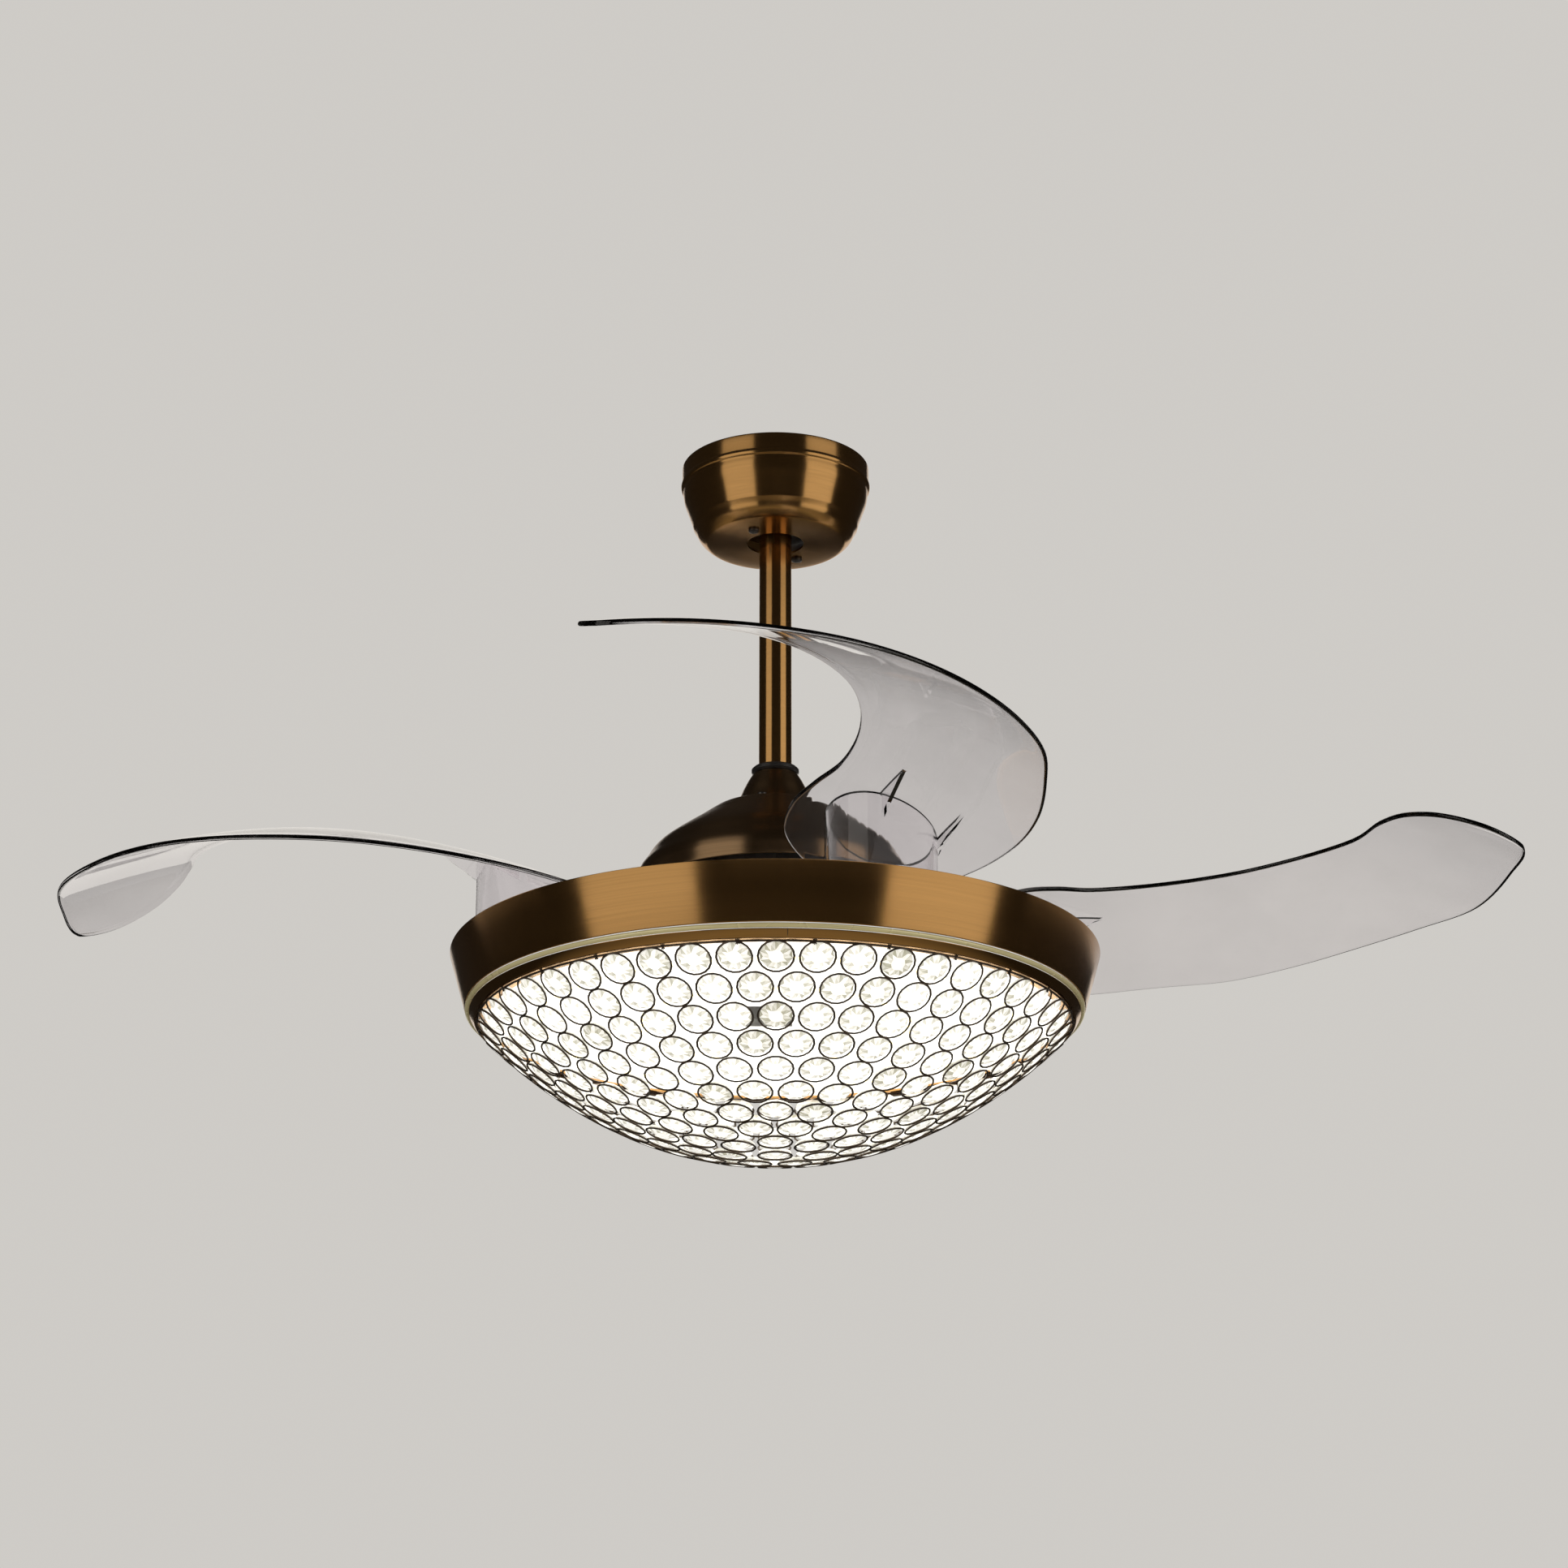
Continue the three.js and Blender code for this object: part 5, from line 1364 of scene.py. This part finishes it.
def dress_frame(nodes: dict[str, bpy.types.Object], finishes: Finishes) -> None:
    """Gives every frame node that still shows its finish.

    Args:
        nodes: the frame's nodes by name.
        finishes: the made finishes.
    """
    choice = {
        "hanger_bracket": "zinc_plate", "hanger_pin": "zinc_plate", "shaft_coupling": "zinc_plate",
        "coupling_bolt": "zinc_plate", "motor_shaft": "zinc_plate", "upper_bearing": "zinc_plate",
        "lower_bearing": "zinc_plate", "shaft_spacer": "zinc_plate", "shaft_nut": "zinc_plate",
        "stator_core": "oiled_steel", "stator_winding_upper": "copper_wire",
        "stator_winding_lower": "copper_wire", "rotor_lid": "cast_aluminium",
        "rotor_can": "cast_aluminium", "magnet_ring": "ferrite", "led_driver": "white_paint",
        "remote_receiver": "black_moulding",
    }
    for name, finish in choice.items():
        node = nodes[name]
        node.data.materials.clear()
        node.data.materials.append(finishes[finish])
    log.info("dressed %d frame nodes", len(choice))


# ---- Studio --------------------------------------------------------------------------------------


@dataclass(frozen=True)
class Softbox:
    """A large soft light that faces the fan."""

    name: str
    azimuth: float
    distance: float
    height: float
    width: float
    tall: float
    power: float
    colour: tuple[float, float, float] = (1.0, 0.96, 0.9)

    def make(self) -> None:
        """Adds the light; azimuth is in degrees from the front, positive to the right."""
        data = bpy.data.lights.new(self.name, "AREA")
        data.shape = "RECTANGLE"
        data.size, data.size_y = self.width, self.tall
        data.energy, data.color = self.power, self.colour
        lamp = bpy.data.objects.new(self.name, data)
        bpy.context.scene.collection.objects.link(lamp)
        a = math.radians(self.azimuth)
        lamp.location = (self.distance * math.sin(a), -self.distance * math.cos(a), self.height)
        lamp.rotation_euler = (math.pi / 2, 0, a)
        lamp.visible_camera = lamp.visible_transmission = False


@dataclass
class Studio:
    """Pale floor, soft lights, a plain world and the camera at the photograph's place."""

    floor_z: float = -2.6
    focal_px: float = 4600.0
    frame_px: float = 1932.0
    sensor: float = 36.0
    place: tuple[float, float, float] = (-0.0081, -2.5712, -1.1572)
    yaw: float = 0.3226
    pitch: float = 19.434
    roll: float = 0.0

    def floor(self, finish: bpy.types.Material) -> None:
        """Large pale floor, one tall storey below the ceiling."""
        span = np.linspace(-9000, 9000, 7)
        x, y = np.meshgrid(span, span, indexing="ij")
        mesh = make_mesh("floor", grid(np.stack([x, y, 0 * x + self.floor_z / MM], -1)))
        mesh.materials.append(finish)
        floor = bpy.data.objects.new("floor", mesh)
        bpy.context.scene.collection.objects.link(floor)
        floor.visible_glossy = False

    def camera(self) -> None:
        """Camera from yaw, pitch and roll: it looks along +Y, turned, tipped up and rolled."""
        y, p, r = (math.radians(v) for v in (self.yaw, self.pitch, self.roll))
        ahead = np.array([math.sin(y) * math.cos(p), math.cos(y) * math.cos(p), math.sin(p)])
        right = np.array([math.cos(y), -math.sin(y), 0.0])
        up = np.cross(right, ahead)
        rolled_right = math.cos(r) * right + math.sin(r) * up
        rolled_up = -math.sin(r) * right + math.cos(r) * up
        matrix = np.eye(4)
        matrix[:3, :3] = np.stack([rolled_right, rolled_up, -ahead], 1)
        matrix[:3, 3] = self.place
        data = bpy.data.cameras.new("camera")
        data.sensor_width = self.sensor
        data.lens = self.focal_px / self.frame_px * self.sensor
        data.clip_end = 60
        camera = bpy.data.objects.new("camera", data)
        bpy.context.scene.collection.objects.link(camera)
        camera.matrix_world = Matrix(matrix.tolist())
        bpy.context.scene.camera = camera

    def world(self) -> None:
        """Plain pale surround that mirrors dim but for the ground, so the metal keeps contrast."""
        world = bpy.data.worlds.new("studio")
        bpy.context.scene.world = world
        world.use_nodes = True
        graph = Graph(world.node_tree)
        background = graph.tree.nodes["Background"]
        path = graph.node("ShaderNodeLightPath").outputs
        clear = graph.maths("SUBTRACT", 1.0, path["Is Transmission Ray"])
        mirrored = graph.maths("MULTIPLY", path["Is Glossy Ray"], clear)
        direction = graph.node("ShaderNodeTexCoord").outputs["Generated"]
        height = graph.node("ShaderNodeSeparateXYZ", {0: direction}).outputs["Z"]
        below = {"Value": height, "From Min": -0.5, "From Max": -0.8}
        steep = graph.node("ShaderNodeMapRange", below).outputs["Result"]
        ground = graph.mixed(steep, (0.02, 0.018, 0.016, 1), (0.3, 0.27, 0.2, 1))
        colour = graph.mixed(mirrored, (0.62, 0.6, 0.57, 1), ground)
        graph.tree.links.new(colour, background.inputs["Color"])
        background.inputs["Strength"].default_value = 1.0

    def build(self, finishes: Finishes) -> None:
        """Adds the floor, lights, world and camera."""
        floor_finish = PlainFinish("pale_floor", (0.74, 0.72, 0.69), 0.0, 0.6, 0.04, 0.0, 2.0, 40.0)
        self.floor(floor_finish.make(finishes.groups))
        for box in (
            Softbox("left_box", -47, 2.8, -0.15, 2.1, 3.2, 17),
            Softbox("right_box", 58, 2.8, -0.15, 2.1, 3.2, 19),
            Softbox("rear_box", 178, 3.2, 0.4, 2.6, 2.4, 16),
        ):
            box.make()
        self.world()
        self.camera()
        bpy.context.scene.view_settings.view_transform = "Standard"


def main() -> None:
    """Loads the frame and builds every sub-assembly in order."""
    logging.basicConfig(level=logging.INFO, format="%(name)s: %(message)s")
    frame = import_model()
    finishes = Finishes(Groups())
    Studio().build(finishes)
    dress_frame(frame["nodes"], finishes)
    for assembly in (
        CeilingMount(finishes), Suspension(finishes), Drum(finishes), LightPlate(finishes),
        CrystalBowl(finishes), Pivots(finishes), Blade(finishes),
    ):
        assembly.build()
        log.info("%s is in place", type(assembly).__name__)


if __name__ == "__main__":
    main()
